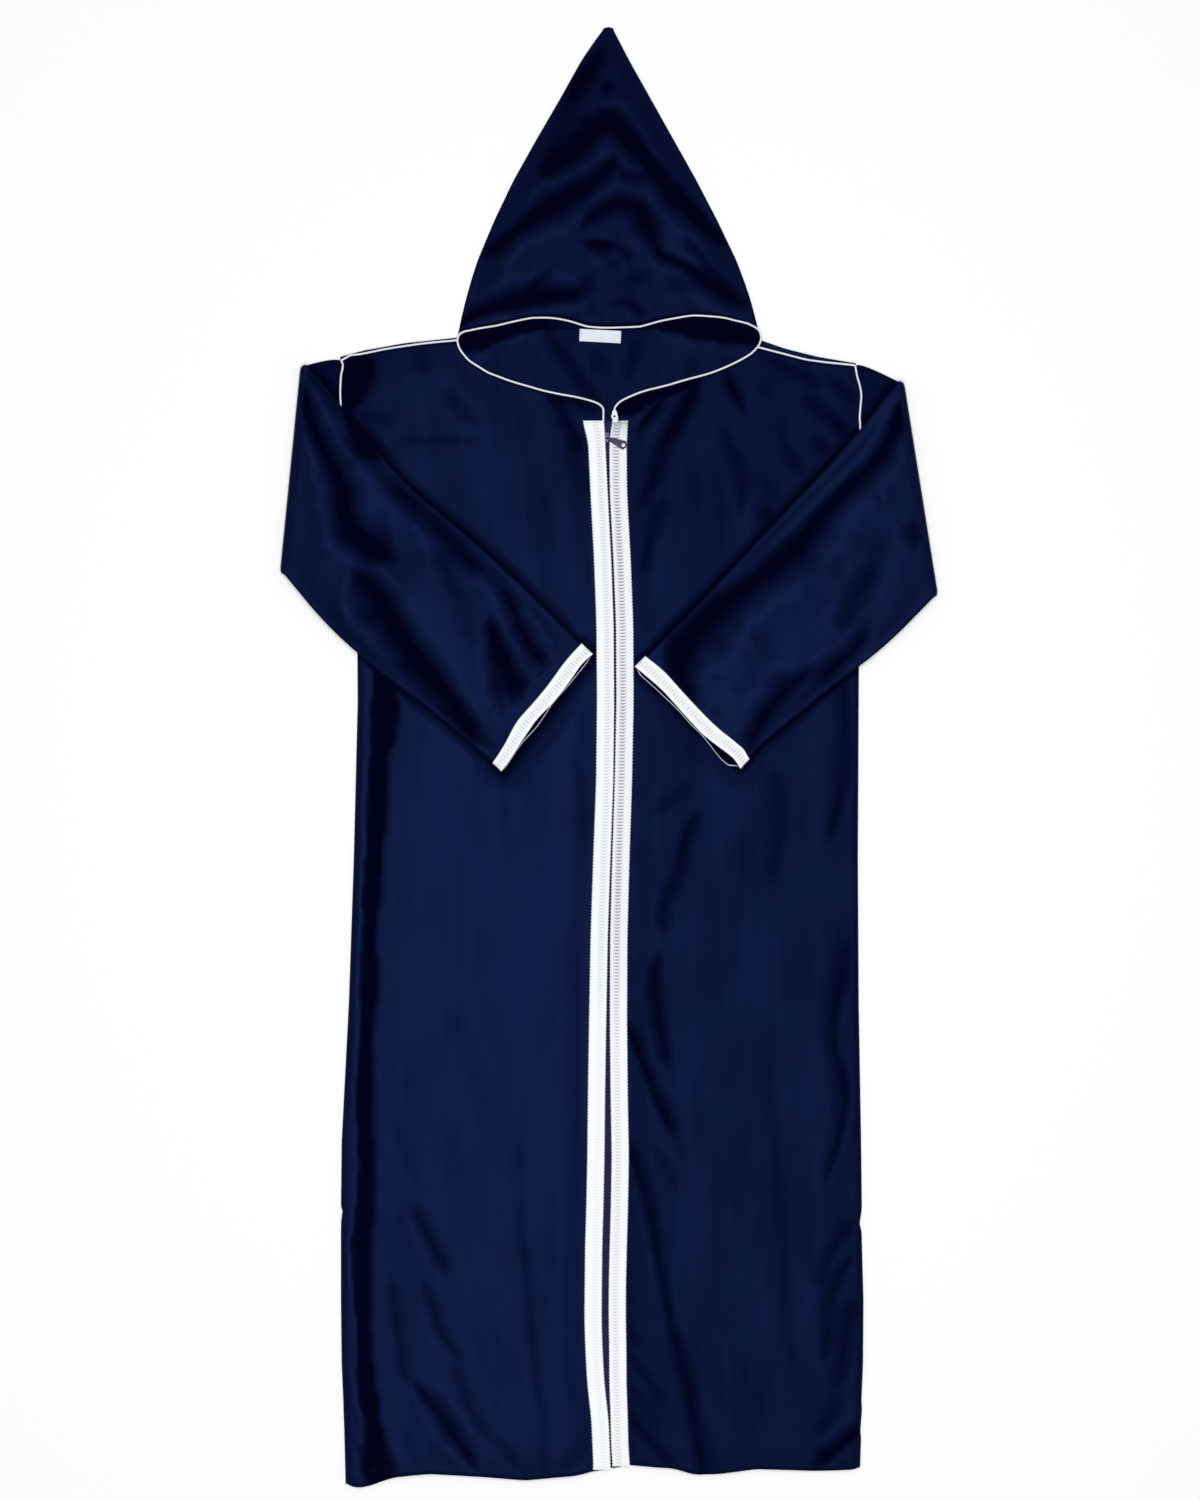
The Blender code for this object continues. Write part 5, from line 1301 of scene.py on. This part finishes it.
def station_line(sleeve, at, edge):
    """One edge of a sleeve read at a station number, with the corners between them rounded."""
    out = sleeve_axis(sleeve)[2]
    soft = np.clip(np.minimum(len(sleeve.stations) - 1 - at, at) / 0.4, 0, 1)
    found = []
    for axis, name in enumerate("xy"):
        values = [getattr(station, f"{edge}_{name}") for station in sleeve.stations]
        values[0] -= out[axis] * FOLD_INSET
        numbers, shifts = range(len(values)), (-0.4, -0.2, 0.0, 0.2, 0.4)
        found.append(sum(np.interp(at + soft * s, numbers, values) for s in shifts) / len(shifts))
    return stack(*found)


def sleeve_surface(sleeve, share, layer, at, swell=0.0, under_reach=0.0):
    """(points, dark) of the part folded over the front, at a station number along it. A band round
    it swells past its edges, and reaches further out below."""
    last = len(sleeve.stations) - 1
    start, end = station_line(sleeve, at, "upper"), station_line(sleeve, at, "lower")
    width = np.linalg.norm(end - start, axis=1)
    moved = share * (width + 2 * swell) - swell
    plan = start + unit(end - start) * moved[:, None]
    # It settles from the top of the fold down on to the front.
    upper, _, out = sleeve_axis(sleeve)
    inward = (upper - out * FOLD_INSET - plan) @ out
    settled = smooth((inward - SETTLE_FROM) / (SETTLE_TO - SETTLE_FROM))
    rest = EDGE_HALF + mix(2 * TURN_RADIUS, SLEEVE_LOW, settled)
    from_edge = np.minimum(share, 1 - share)
    to_edge = from_edge * (width + 2 * swell)
    relief, dark = crease_field(SLEEVE_CREASES[sleeve.side], plan[:, 0], plan[:, 1])
    relief = relief + ripples(plan[:, 0], plan[:, 1], 1.0, 3.0 * sleeve.side)
    quiet = smooth(to_edge / 22.0) * smooth(at / 0.35) * smooth((last - 0.6 - at) / 1.2)
    loft = np.interp(at, range(last + 1), [station.loft for station in sleeve.stations])
    lift = loft * smooth(to_edge / 40.0) + relief * quiet
    high = edge_height(to_edge, EDGE_HALF + swell) * layer
    high = high + np.where(layer > 0, np.maximum(lift, -1.8), 0.0)
    inner, outer, under = (read(CUFF_EDGES[sleeve.side], share, "share", key, 0.025)
                           for key in ("inner", "outer", "under"))
    # Towards the cuff its edges stray, and the lower layer hangs open.
    reached = np.clip(at - last + 1, 0, 1)
    hanging = (under + under_reach) * mix(0.5, 1.0, reached)
    stray = mix(mix(inner, outer, reached), hanging, smooth(from_edge * 14) * (layer < 0))
    stray = stray * smooth((at - last + 3.2) / 2.0)
    plan = plan + stray[:, None] * sleeve_run(sleeve)
    # Shade is painted on the lower layer, deepest towards the cuff, where the mouth shows it.
    inside = mix(0.3, 0.97, smooth(at - last + 2))
    return (np.column_stack([plan, rest + high]),
            np.where(layer > 0, dark + SLEEVE_TONE[sleeve.side], inside))


def sleeve_form(sleeve):
    """A flat tube from the armhole out to its fold, round it, and over the front to the cuff."""
    around, flat_rows, turn_rows, over_rows = 116, 16, 16, 112
    rows, turn_end = flat_rows + turn_rows + over_rows, flat_rows + turn_rows
    upper, lower, out = sleeve_axis(sleeve)
    fold_start, fold_end = upper - out * FOLD_INSET, lower - out * FOLD_INSET
    width = np.linalg.norm(fold_end - fold_start)
    last = len(sleeve.stations) - 1

    def place(column, row):
        share, layer, way = tube_round(column, around)
        to_side = np.minimum(share, 1 - share) * width
        edge = edge_height(to_side)
        fold_plan = fold_start + (fold_end - fold_start) * share[:, None]
        # From the armhole to the fold it lies flat on the surface.
        y_seam = mix(sleeve.armhole_top.y - 1.5, sleeve.armhole_bottom.y, share)
        seam_plan = stack(armhole_x(sleeve, y_seam) + sleeve.side * SEAM_GAP, y_seam)
        near = np.clip(row / flat_rows, 0, 1)
        flat = mix(seam_plan, fold_plan, near[:, None])
        lying = np.column_stack([flat, EDGE_HALF - layer * edge])
        # The shoulder's fullness rounds out the top edge on its way to the fold.
        lying[:, 1] += 3.2 * np.sin(math.pi * near**0.6) * smooth(1 - share * 5)
        # Round the fold, the layer that lay below comes to lie on top.
        angle = np.clip((row - flat_rows) / turn_rows, 0, 1) * math.pi
        normal = np.column_stack([np.sin(angle)[:, None] * out, -np.cos(angle)])
        rounding = mix(0.2, 1.0, edge_height(to_side, FOLD_CORNER) / FOLD_CORNER)
        spine = fold_plan + out * (TURN_RADIUS * rounding * np.sin(angle))[:, None]
        turning = np.column_stack([spine, EDGE_HALF + TURN_RADIUS * (1 - np.cos(angle))])
        turning = turning + normal * (layer * edge)[:, None]
        # Then it lies over the front, as far as the cuff.
        at = np.clip((row - turn_end) / over_rows, 0, 1) * last
        over, dark = sleeve_surface(sleeve, share, layer, at)
        points = np.where((row <= turn_end)[:, None], turning, over)
        points = np.where((row <= flat_rows)[:, None], lying, points)
        # A shadow of the folded part is painted on the flat part just above it.
        to_fold = distance_outside(sleeve_outline(sleeve.side), points[:, 0], points[:, 1])
        shaded = SHOULDER_TONE[sleeve.side] + 0.6 * bell(to_fold, 9.0)
        dark = np.where(row <= flat_rows, shaded, np.where(row <= turn_end, 0.1, dark))
        return points, stack(way * SLEEVE_GIRTH, row / rows * SLEEVE_LENGTH), dark

    return turn_underside_down(cloth_form(around, rows, place, merge=True))


# ------------------------------------------------------------------ braid


def braid_relief(across, along, half, zip_side):
    """(height, gap) of the plaited braid: cords down both edges, and ribs that cross a middle
    column and slant away from it."""
    column = np.abs(across - zip_side * BRAID_COLUMN)
    phase = (along + 0.12 * column + 0.6 * np.maximum(column - 2.8, 0)) / BRAID_PITCH
    rib = np.cos(math.tau * phase)
    to_edge = half - np.abs(across)
    inner = smooth((to_edge - 1.6) / 0.8)
    in_column = np.exp(-((column / 3.1) ** 4))
    groove = bell(column - 3.9, 0.5) + bell(to_edge - 2.1, 0.4)
    height = (0.20 + 0.16 * in_column) * rib * inner - 0.12 * groove * inner
    height = height + 0.30 * bell(to_edge - 1.0, 0.8) - 0.9 * smooth((0.7 - to_edge) / 0.7)
    # Gap is grey shade painted in the ribs' troughs, in its grooves and in the dips along its
    # edges.
    marks = np.clip(0.15 - rib * 1.5, 0, 1) * mix(0.3, 1.0, in_column) + 0.15 * in_column
    beads = np.clip(-np.cos(math.tau * along / BRAID_PITCH), 0, 1) * bell(to_edge - 0.4, 0.4)
    return height, np.clip(marks * inner + 0.35 * groove * inner + 0.3 * beads, 0, 1)


def band_width(side, y):
    """A band's width: the wearer's right one is cut wider at its top, the left one narrower."""
    top = 4.2 * smooth((y - 385) / 35.0) if side < 0 else -1.6 * smooth((y - 398) / 20.0)
    return BAND_WIDTH + top + SCALLOP * np.cos(math.tau * (BAND_TOP - y) / BRAID_PITCH)


def band_form(side):
    """Down a front's edge from BAND_TOP to the hem."""
    bottom = float(curve_y(HEM, band_middle(side, HEM_LEVEL))) + BAND_INSET

    def top_at(across, along, half):
        height, _ = braid_relief(across, along, half, -side)
        # The ends are turned under, so they fall away over a couple of millimetres.
        ends = smooth(np.minimum(along, BAND_TOP - bottom - along) / 1.6)
        turned_hem = 0.35 * bell(along - 1.6, 0.9)
        return mix(BAND_LOW + 0.5, BAND_HIGH - 0.25 + height + turned_hem, ends)

    def dark_at(across, along):
        _, gap = braid_relief(across, along, BAND_WIDTH / 2, -side)
        # The plait lies closer towards the hem, so less shade is painted in its gaps there, and
        # the turned hem at the top shows as a line.
        gap = gap * mix(1.0, 0.4, smooth((along - 640) / 160))
        # The left band is darker near its top, by the loop.
        darker_top = 0.4 * bell(along, 15.0) if side > 0 else 0.0
        return np.clip(np.maximum(gap, 0.6 * bell(along - 3.4, 0.7)) + darker_top, 0, 1)

    return strip_form(
        np.linspace(BAND_TOP, bottom, BAND_ROWS), lambda y: band_middle(side, y),
        lambda y: band_width(side, y), top_at, BAND_LOW, 22, dark_at,
    )


def cuff_form(sleeve):
    """A flat ring of braid round the last station of a sleeve."""
    around, rows = 420, 18
    last = len(sleeve.stations) - 1

    def place(column, row):
        share, layer, way = tube_round(column, around)
        v = row / rows
        # The braid stands a thread past the cloth, so its lower layer edges the open mouth.
        points, _ = sleeve_surface(sleeve, share, layer, mix(last - 1, last, v),
                                   SEAM_GAP + CUFF_BAND_THICK, 1.2 * v)
        along, across = way * CUFF_GIRTH, (v - 0.5) * 2 * CUFF_HALF
        height, gap = braid_relief(across, along, CUFF_HALF, 0.0)
        points[:, 2] += layer * height * 0.7
        # Shade is painted on the lower layer, in the mouth, greying it towards the braid's gap
        # colour.
        return points, stack(along, across + CUFF_HALF), np.where(layer < 0, 1.3, gap)

    form = cloth_form(around, rows, place, merge=True)
    return turn_faces(form, 1, lambda centre: centre.z > 10.5)


# ------------------------------------------------------------------ cords


def tucked(y):
    """How far a cord's end has slipped in at its band's top, from 0 to 1."""
    return smooth((CORD_TUCK[0] - y) / CORD_TUCK[1])


def neck_cord_path():
    """Low beside the hood's face edge, up on the shoulders and the fronts, and under the band."""
    x, y = np.array(NECK_CORD).T
    above = (np.arange(len(x)) > x.argmin()) & (np.arange(len(x)) < x.argmax())
    along_hood = mix(HOOD_EDGE_TOP, SEAM_CORD_HEIGHT, smooth((np.abs(x) - 165) / 22))
    z = np.where(above, along_hood, np.where(np.abs(x) > 170, SEAM_CORD_HEIGHT, FRONT_TOP))
    return soft_path(stack(x, y, z - 1.3 * tucked(y)), 2.0)


def seam_cord_path(side):
    """Along the shoulder seam, until it meets the neck cord."""
    path = [*SHOULDER_SEAM[side][:-1], SEAM_CORD_END[side]]
    return soft_path([(x, y, SEAM_CORD_HEIGHT) for x, y in path], 2.5)


def armhole_cord_path(side):
    sleeve = SLEEVES[side]
    y = np.arange(425, sleeve.armhole_bottom.y + 14, -6.0)
    path = [*ARMHOLE_CORD_TOP[side], *stack(armhole_x(sleeve, y) + side * SEAM_GAP / 2, y)]
    return soft_path([(x, y, SEAM_CORD_HEIGHT) for x, y in path], 2.2)


def button_loop_form():
    """The folded end of the cord's cover, pierced by an eye and caught down on the band's top."""
    form = bmesh.new()
    plate(form, LOOP_OUTLINE, *LOOP_LEVELS, hole=LOOP_EYE)
    bevel_edges(form, 0.35, 3)
    for vert in form.verts:
        vert.co.z += (BAND_HIGH - LOOP_LEVELS[0] + 0.1) * float(tucked(vert.co.y))
    return to_metres(form)


# ------------------------------------------------------------------ zip and label


def tape_form(side):
    """One woven tape, from the zip's middle out under its band."""
    return strip_form(
        np.linspace(ZIP_TOP, ZIP_BOTTOM, TAPE_ROWS),
        lambda y: zip_middle(y) + side * (TAPE_WIDTH + SEAM_GAP) / 2,
        lambda y: np.full_like(y, TAPE_WIDTH),
        lambda across, along, half: np.full_like(across, TAPE_HIGH), TAPE_LOW, 6,
    )


def coil_form():
    """The closed zip's teeth, from alternate sides."""
    form = bmesh.new()
    flat = Matrix.Rotation(math.radians(90), 4, "Y")
    for number, y in enumerate(np.arange(ZIP_TOP - 5, ZIP_BOTTOM + 5, -TOOTH_PITCH)):
        side = 1 if number % 2 else -1
        at = Vector((float(zip_middle(y)) + side * TOOTH_ASIDE, y, COIL_HEIGHT)) * MM
        bmesh.ops.create_cone(
            form, cap_ends=True, segments=6, radius1=TOOTH_RADIUS * MM, radius2=TOOTH_RADIUS * MM,
            depth=TOOTH_LENGTH * MM, matrix=Matrix.Translation(at) @ flat,
        )
    return form


def slider_form():
    """Two shields with a narrower bridge between them."""
    (x, y), (low, high) = SLIDER_PLACE, SLIDER_LEVELS
    mirrored = [(-a, b) for a, b in SLIDER_HALF]
    shield = mirrored[:1] + SLIDER_HALF + mirrored[:0:-1]
    form = bmesh.new()
    for scale, bottom, top in ((0.96, low, low + 0.8), (0.55, low + 0.7, high - 0.9),
                               (1.0, high - 1.0, high)):
        plate(form, [(x + a * scale, y + b * scale) for a, b in shield], bottom, top)
    bevel_edges(form, 0.22)
    return to_metres(form)


def bail_form():
    """The wire bridge over the slider, in the plane across X, so its rings turn about X."""
    x, y = SLIDER_PLACE
    foot, half = SLIDER_LEVELS[1] - 0.5, BAIL_SPAN / 2
    leg = [(half, foot), (half, BAIL_HEIGHT - BAIL_BEND), (half - BAIL_BEND, BAIL_HEIGHT)]
    bends = [(-a, z) for a, z in leg] + [(0.0, BAIL_HEIGHT)] + leg[::-1]
    path = soft_path([(x, y + a, z) for a, z in bends], 0.35)
    beside = np.array((1.0, 0.0, 0.0))
    high = np.cross(unit(np.gradient(path, axis=0)), beside)
    rows = len(path) - 1

    def place(column, row):
        share = column / CORD_SIDES
        angle = share * math.tau
        spoke = beside * np.cos(angle)[:, None] + high[row] * np.sin(angle)[:, None]
        return path[row] + spoke * BAIL_WIRE, stack(share, row / rows), np.zeros(len(row))

    return cloth_form(CORD_SIDES, rows, place, merge=True, fill_ends=True)


def tab_form():
    """The hanging tab, narrow at its eye, with a round hole near its far end."""
    near, far = (width / 2 for width in TAB_WIDTHS)
    neck = EYE_WIDTH / 2
    one_side = [(1.5, neck), (3.2, neck), (4.6, near - 0.7), (6.0, near),
                (TAB_LENGTH - 4.0, far), (TAB_LENGTH - 2.6, far - 0.4), (TAB_LENGTH, 1.2)]
    outline = [(a, -b) for a, b in one_side] + one_side[::-1]
    spots = turned([*outline, (TAB_LENGTH - TAB_HOLE_FROM_END, 0)], TAB_TURN) + HINGE[:2]
    form = bmesh.new()
    plate(form, spots[:-1], *TAB_LEVELS, hole=(spots[-1], TAB_HOLE_RADIUS))
    bevel_edges(form, 0.28)
    return to_metres(form)


def eye_form():
    """The tab's eye, a ring turned round the bail's bar."""
    form = bmesh.new()
    half = EYE_WIDTH / 2
    rim = [(EYE_INNER, 0.2), (EYE_INNER + 0.2, 0.0), (EYE_OUTER - 0.3, 0.0), (EYE_OUTER, 0.3)]
    ring, edges = closed_ring(form, [(r, inset - half, 0) for r, inset in rim]
                              + [(r, half - inset, 0) for r, inset in reversed(rim)])
    bmesh.ops.spin(form, geom=ring + edges, cent=(0, 0, 0), axis=(0, 1, 0), angle=math.tau,
                   steps=28, use_merge=True, use_duplicate=False)
    bmesh.ops.recalc_face_normals(form, faces=form.faces)
    bmesh.ops.translate(form, vec=HINGE, verts=form.verts)
    return to_metres(form)


def label_form():
    """A small tape, a little lifted between its sewn ends."""
    columns, rows = 52, 16

    def place(column, row):
        u, v = column / columns, row / rows
        flat = stack(mix(-LABEL_WIDTH, LABEL_WIDTH, u), mix(LABEL_HEIGHT, -LABEL_HEIGHT, v)) / 2
        ends = smooth(np.minimum(u, 1 - u) * LABEL_WIDTH / 1.6)
        lift = 0.25 * np.sin(u * math.pi * 1.7 + 0.6) * smooth(v * 2) * ends
        z = LABEL_LEVELS[1] - 0.2 * (1 - ends) + lift
        return np.column_stack([turned(flat, LABEL_TURN) + LABEL_PLACE, z]), flat, np.zeros(len(u))

    return turn_faces(cloth_form(columns, rows, place), 1)


# ------------------------------------------------------------------ operators


class RobeOperator:
    bl_options = {"REGISTER", "UNDO"}


class ROBE_OT_stage(RobeOperator, bpy.types.Operator):
    """Lay a pale floor under the robe, and set up the lights and the camera straight above"""
    bl_idname = "robe.make_stage"
    bl_label = "Stage"

    def execute(self, context):
        scene = context.scene
        settings = scene.robe_stage
        form = bmesh.new()
        bmesh.ops.create_grid(form, x_segments=2, y_segments=2, size=FLOOR_SIZE)
        floor = object_of("floor", form, seamless_paper())
        floor.location.z = -FLOOR_DROP

        lamp = bpy.data.lights.new("overhead_softbox", "AREA")
        lamp.shape, lamp.size, lamp.size_y = "RECTANGLE", LAMP_WIDTH, LAMP_LENGTH
        lamp.energy = settings.key_power
        light = bpy.data.objects.new("overhead_softbox", lamp)
        light.location.z = LAMP_HEIGHT
        scene.collection.objects.link(light)

        world = bpy.data.worlds.new("studio_air")
        world.use_nodes = True
        air = world.node_tree.nodes["Background"]
        air.inputs["Color"].default_value = SKY
        air.inputs["Strength"].default_value = settings.fill
        scene.world = world
        scene.view_settings.view_transform = "Standard"
        scene.view_settings.look = "None"

        lens = bpy.data.cameras.new("overhead_camera")
        lens.lens = LENS_MM
        camera = bpy.data.objects.new("overhead_camera", lens)
        camera.location = CAMERA_PLACE
        scene.collection.objects.link(camera)
        scene.camera = camera
        return {"FINISHED"}


class ROBE_OT_back(RobeOperator, bpy.types.Operator):
    """Lay the back flat, turned over at the shoulders"""
    bl_idname = "robe.make_back"
    bl_label = "Back"

    def execute(self, context):
        satin_piece("back_cloth", "back_panel", back_form(),
                    flat=(0.68, 1.46), area=0.94, held="laid", rests_on=[])
        return {"FINISHED"}


class ROBE_OT_fronts(RobeOperator, bpy.types.Operator):
    """Lay the two fronts on the back, with their creases"""
    bl_idname = "robe.make_fronts"
    bl_label = "Fronts"

    def execute(self, context):
        for side, name in SIDES:
            satin_piece(f"front_cloth_{name}", f"front_{name}", front_form(side),
                        flat=(0.345, 1.44), area=0.45, held="laid", rests_on=["back_cloth"])
        return {"FINISHED"}


class ROBE_OT_hood(RobeOperator, bpy.types.Operator):
    """Lay the pointed hood flat above the neck"""
    bl_idname = "robe.make_hood"
    bl_label = "Hood"

    def execute(self, context):
        satin_piece("hood_cloth", "hood", hood_form(),
                    flat=(0.78, 0.42), area=0.18, held="folded", rests_on=[])
        return {"FINISHED"}


class ROBE_OT_sleeves(RobeOperator, bpy.types.Operator):
    """Fold both sleeves in over the front"""
    bl_idname = "robe.make_sleeves"
    bl_label = "Sleeves"

    def execute(self, context):
        for side, name in SIDES:
            satin_piece(f"sleeve_cloth_{name}", f"sleeve_{name}", sleeve_form(SLEEVES[side]),
                        flat=(0.55, 0.56), area=0.25, held="folded",
                        rests_on=[f"front_cloth_{name}"])
        return {"FINISHED"}


class ROBE_OT_cuffs(RobeOperator, bpy.types.Operator):
    """Sew the braid round both cuffs"""
    bl_idname = "robe.make_cuffs"
    bl_label = "Cuff braid"

    def execute(self, context):
        for side, name in SIDES:
            piece(f"cuff_braid_{name}", cuff_form(SLEEVES[side]), braid_finish("close", 0.45),
                  "white_braid", f"cuff_band_{name}", wall=CUFF_BAND_THICK * MM,
                  flat=(0.0165, 0.36), held="folded", rests_on=[f"sleeve_cloth_{name}"])
        return {"FINISHED"}


class ROBE_OT_bands(RobeOperator, bpy.types.Operator):
    """Sew a braid band down each front edge, with its stitching"""
    bl_idname = "robe.make_bands"
    bl_label = "Front braid"

    def execute(self, context):
        pitch = context.scene.robe_trims.stitch_pitch / MM
        y = np.arange(BAND_TOP - 4, HEM_LEVEL + 14, -pitch)
        z = np.full(len(y), BAND_HIGH - 0.1)
        for (side, name), weave, gap_share in zip(SIDES, ("close", "open"), (0.45, 1.0)):
            piece(f"band_braid_{name}", band_form(side), braid_finish(weave, gap_share),
                  "white_braid", f"band_{name}",
                  flat=(0.022, 1.31), held="laid", rests_on=[f"front_cloth_{name}"])
            runs = [stack(band_middle(side, y) + edge * (BAND_WIDTH / 2 - 2.1), y, z)
                    for edge in (-1, 1)]
            piece(f"band_stitches_{name}", stitch_form(runs, pitch * 0.62, 0.2),
                  sewing_thread("white"), "white_braid")
        return {"FINISHED"}


class ROBE_OT_cords(RobeOperator, bpy.types.Operator):
    """Sew the covered cord round the neck, along the shoulders and down the armholes"""
    bl_idname = "robe.make_cords"
    bl_label = "Cords"

    def execute(self, context):
        cover = cord_cover()
        piece("neck_cord", cord_form(neck_cord_path()), cover, "white_cord", "piping_neck")
        piece("button_loop", button_loop_form(), cover, "white_cord", "collar_loop")
        for side, name in SIDES:
            piece(f"shoulder_cord_{name}", cord_form(seam_cord_path(side)), cover,
                  "white_cord", f"piping_shoulder_{name}")
            piece(f"armhole_cord_{name}", cord_form(armhole_cord_path(side)), cover,
                  "white_cord", f"piping_armhole_{name}")
        return {"FINISHED"}


class ROBE_OT_zip(RobeOperator, bpy.types.Operator):
    """Lay the zip's tapes and its closed coil between the bands"""
    bl_idname = "robe.make_zip"
    bl_label = "Zip tapes and coil"

    def execute(self, context):
        tape = zip_tape_cloth()
        for side, name in SIDES:
            piece(f"zip_tape_cloth_{name}", tape_form(side), tape, "zip_tape", f"zip_tape_{name}",
                  flat=(0.0126, 1.28), held="laid", rests_on=["back_cloth"])
        piece("zip_coil_teeth", coil_form(), nylon_coil(), "zip_coil", "zip_coil")
        return {"FINISHED"}


class ROBE_OT_pull(RobeOperator, bpy.types.Operator):
    """Make the slider with its bail, and the pull tab that hangs on it"""
    bl_idname = "robe.make_pull"
    bl_label = "Slider and pull tab"

    def execute(self, context):
        piece("slider_body", slider_form(), plated_zinc(), "zip_metal", "zip_slider",
              sharper_than=35)
        piece("slider_bail", bail_form(), plated_zinc(), "zip_metal")
        piece("pull_plate", tab_form(), lacquered_zinc(), "tab_metal", "zip_pull", PULL, 35)
        piece("pull_eye", eye_form(), lacquered_zinc(), "tab_metal", None, PULL, 35)
        return {"FINISHED"}


class ROBE_OT_label(RobeOperator, bpy.types.Operator):
    """Sew the bare woven label inside the neck"""
    bl_idname = "robe.make_label"
    bl_label = "Neck label"

    def execute(self, context):
        low, high = LABEL_LEVELS
        piece("neck_label_tape", label_form(), label_cloth(), "label_tape", "neck_label",
              wall=(high - low) * MM * 0.8, flat=(0.052, 0.0155), held="laid",
              rests_on=["back_cloth"])
        down = np.arange(-LABEL_HEIGHT / 2 + 1.2, LABEL_HEIGHT / 2 - 0.6, 1.9)
        runs = []
        for end in (-1, 1):
            across = np.full_like(down, end * (LABEL_WIDTH / 2 - 1.3))
            spots = turned(stack(across, down), LABEL_TURN) + LABEL_PLACE
            runs.append(np.column_stack([spots, np.full_like(down, high + 0.05)]))
        piece("label_stitches", stitch_form(runs, 1.2, 0.18), sewing_thread("navy"), "label_tape")
        return {"FINISHED"}


class ROBE_OT_stitches(RobeOperator, bpy.types.Operator):
    """Sew the hem and the ends of the side slits"""
    bl_idname = "robe.make_stitches"
    bl_label = "Hem stitches"

    def execute(self, context):
        pitch = context.scene.robe_trims.stitch_pitch / MM
        runs = []
        for side, _ in SIDES:
            inner = float(band_middle(side, HEM_LEVEL)) + side * (BAND_WIDTH / 2 + 3)
            outer = float(side_x(side, HEM_LEVEL)) - side * 5
            x = np.arange(inner, outer, side * pitch)
            y = curve_y(HEM, x, 6.0) + HEM_STITCHES_UP
            runs.append(stack(x, y, front_surface(side, x, y)[0] + 0.02))
            y = np.arange(*SLIT_STITCHES)
            x = side_x(side, y) - side * 2.2
            runs.append(stack(x, y, front_surface(side, x, y)[0] + 0.05))
        piece("hem_stitches", stitch_form(runs, pitch * 0.6, 0.22), sewing_thread("navy"),
              "navy_satin")
        return {"FINISHED"}


class ROBE_PT_maker(bpy.types.Panel):
    """Buttons that make the robe, piece by piece"""
    bl_idname = "ROBE_PT_maker"
    bl_label = "Djellaba robe"
    bl_space_type = "VIEW_3D"
    bl_region_type = "UI"
    bl_category = "Djellaba"

    def draw(self, context):
        layout = self.layout
        for name in SETTINGS:
            box = layout.box()
            group = getattr(context.scene, name)
            for prop in type(group).__annotations__:
                box.prop(group, prop)
        for operator in MAKERS:
            layout.operator(operator.bl_idname)


SETTINGS = {
    "robe_cloth": ClothSettings, "robe_trims": TrimSettings, "robe_zip": ZipSettings,
    "robe_stage": StageSettings,
}
MAKERS = (
    ROBE_OT_stage, ROBE_OT_back, ROBE_OT_fronts, ROBE_OT_hood, ROBE_OT_sleeves, ROBE_OT_cuffs,
    ROBE_OT_bands, ROBE_OT_cords, ROBE_OT_zip, ROBE_OT_pull, ROBE_OT_label, ROBE_OT_stitches,
)
CLASSES = (*SETTINGS.values(), *MAKERS, ROBE_PT_maker)


def register():
    for cls in CLASSES:
        bpy.utils.register_class(cls)
    for name, group in SETTINGS.items():
        setattr(bpy.types.Scene, name, bpy.props.PointerProperty(type=group))


def unregister():
    for name in SETTINGS:
        delattr(bpy.types.Scene, name)
    for cls in reversed(CLASSES):
        bpy.utils.unregister_class(cls)


def main():
    register()
    for maker in MAKERS:
        group, name = maker.bl_idname.split(".")
        getattr(getattr(bpy.ops, group), name)()


if __name__ == "__main__":
    main()
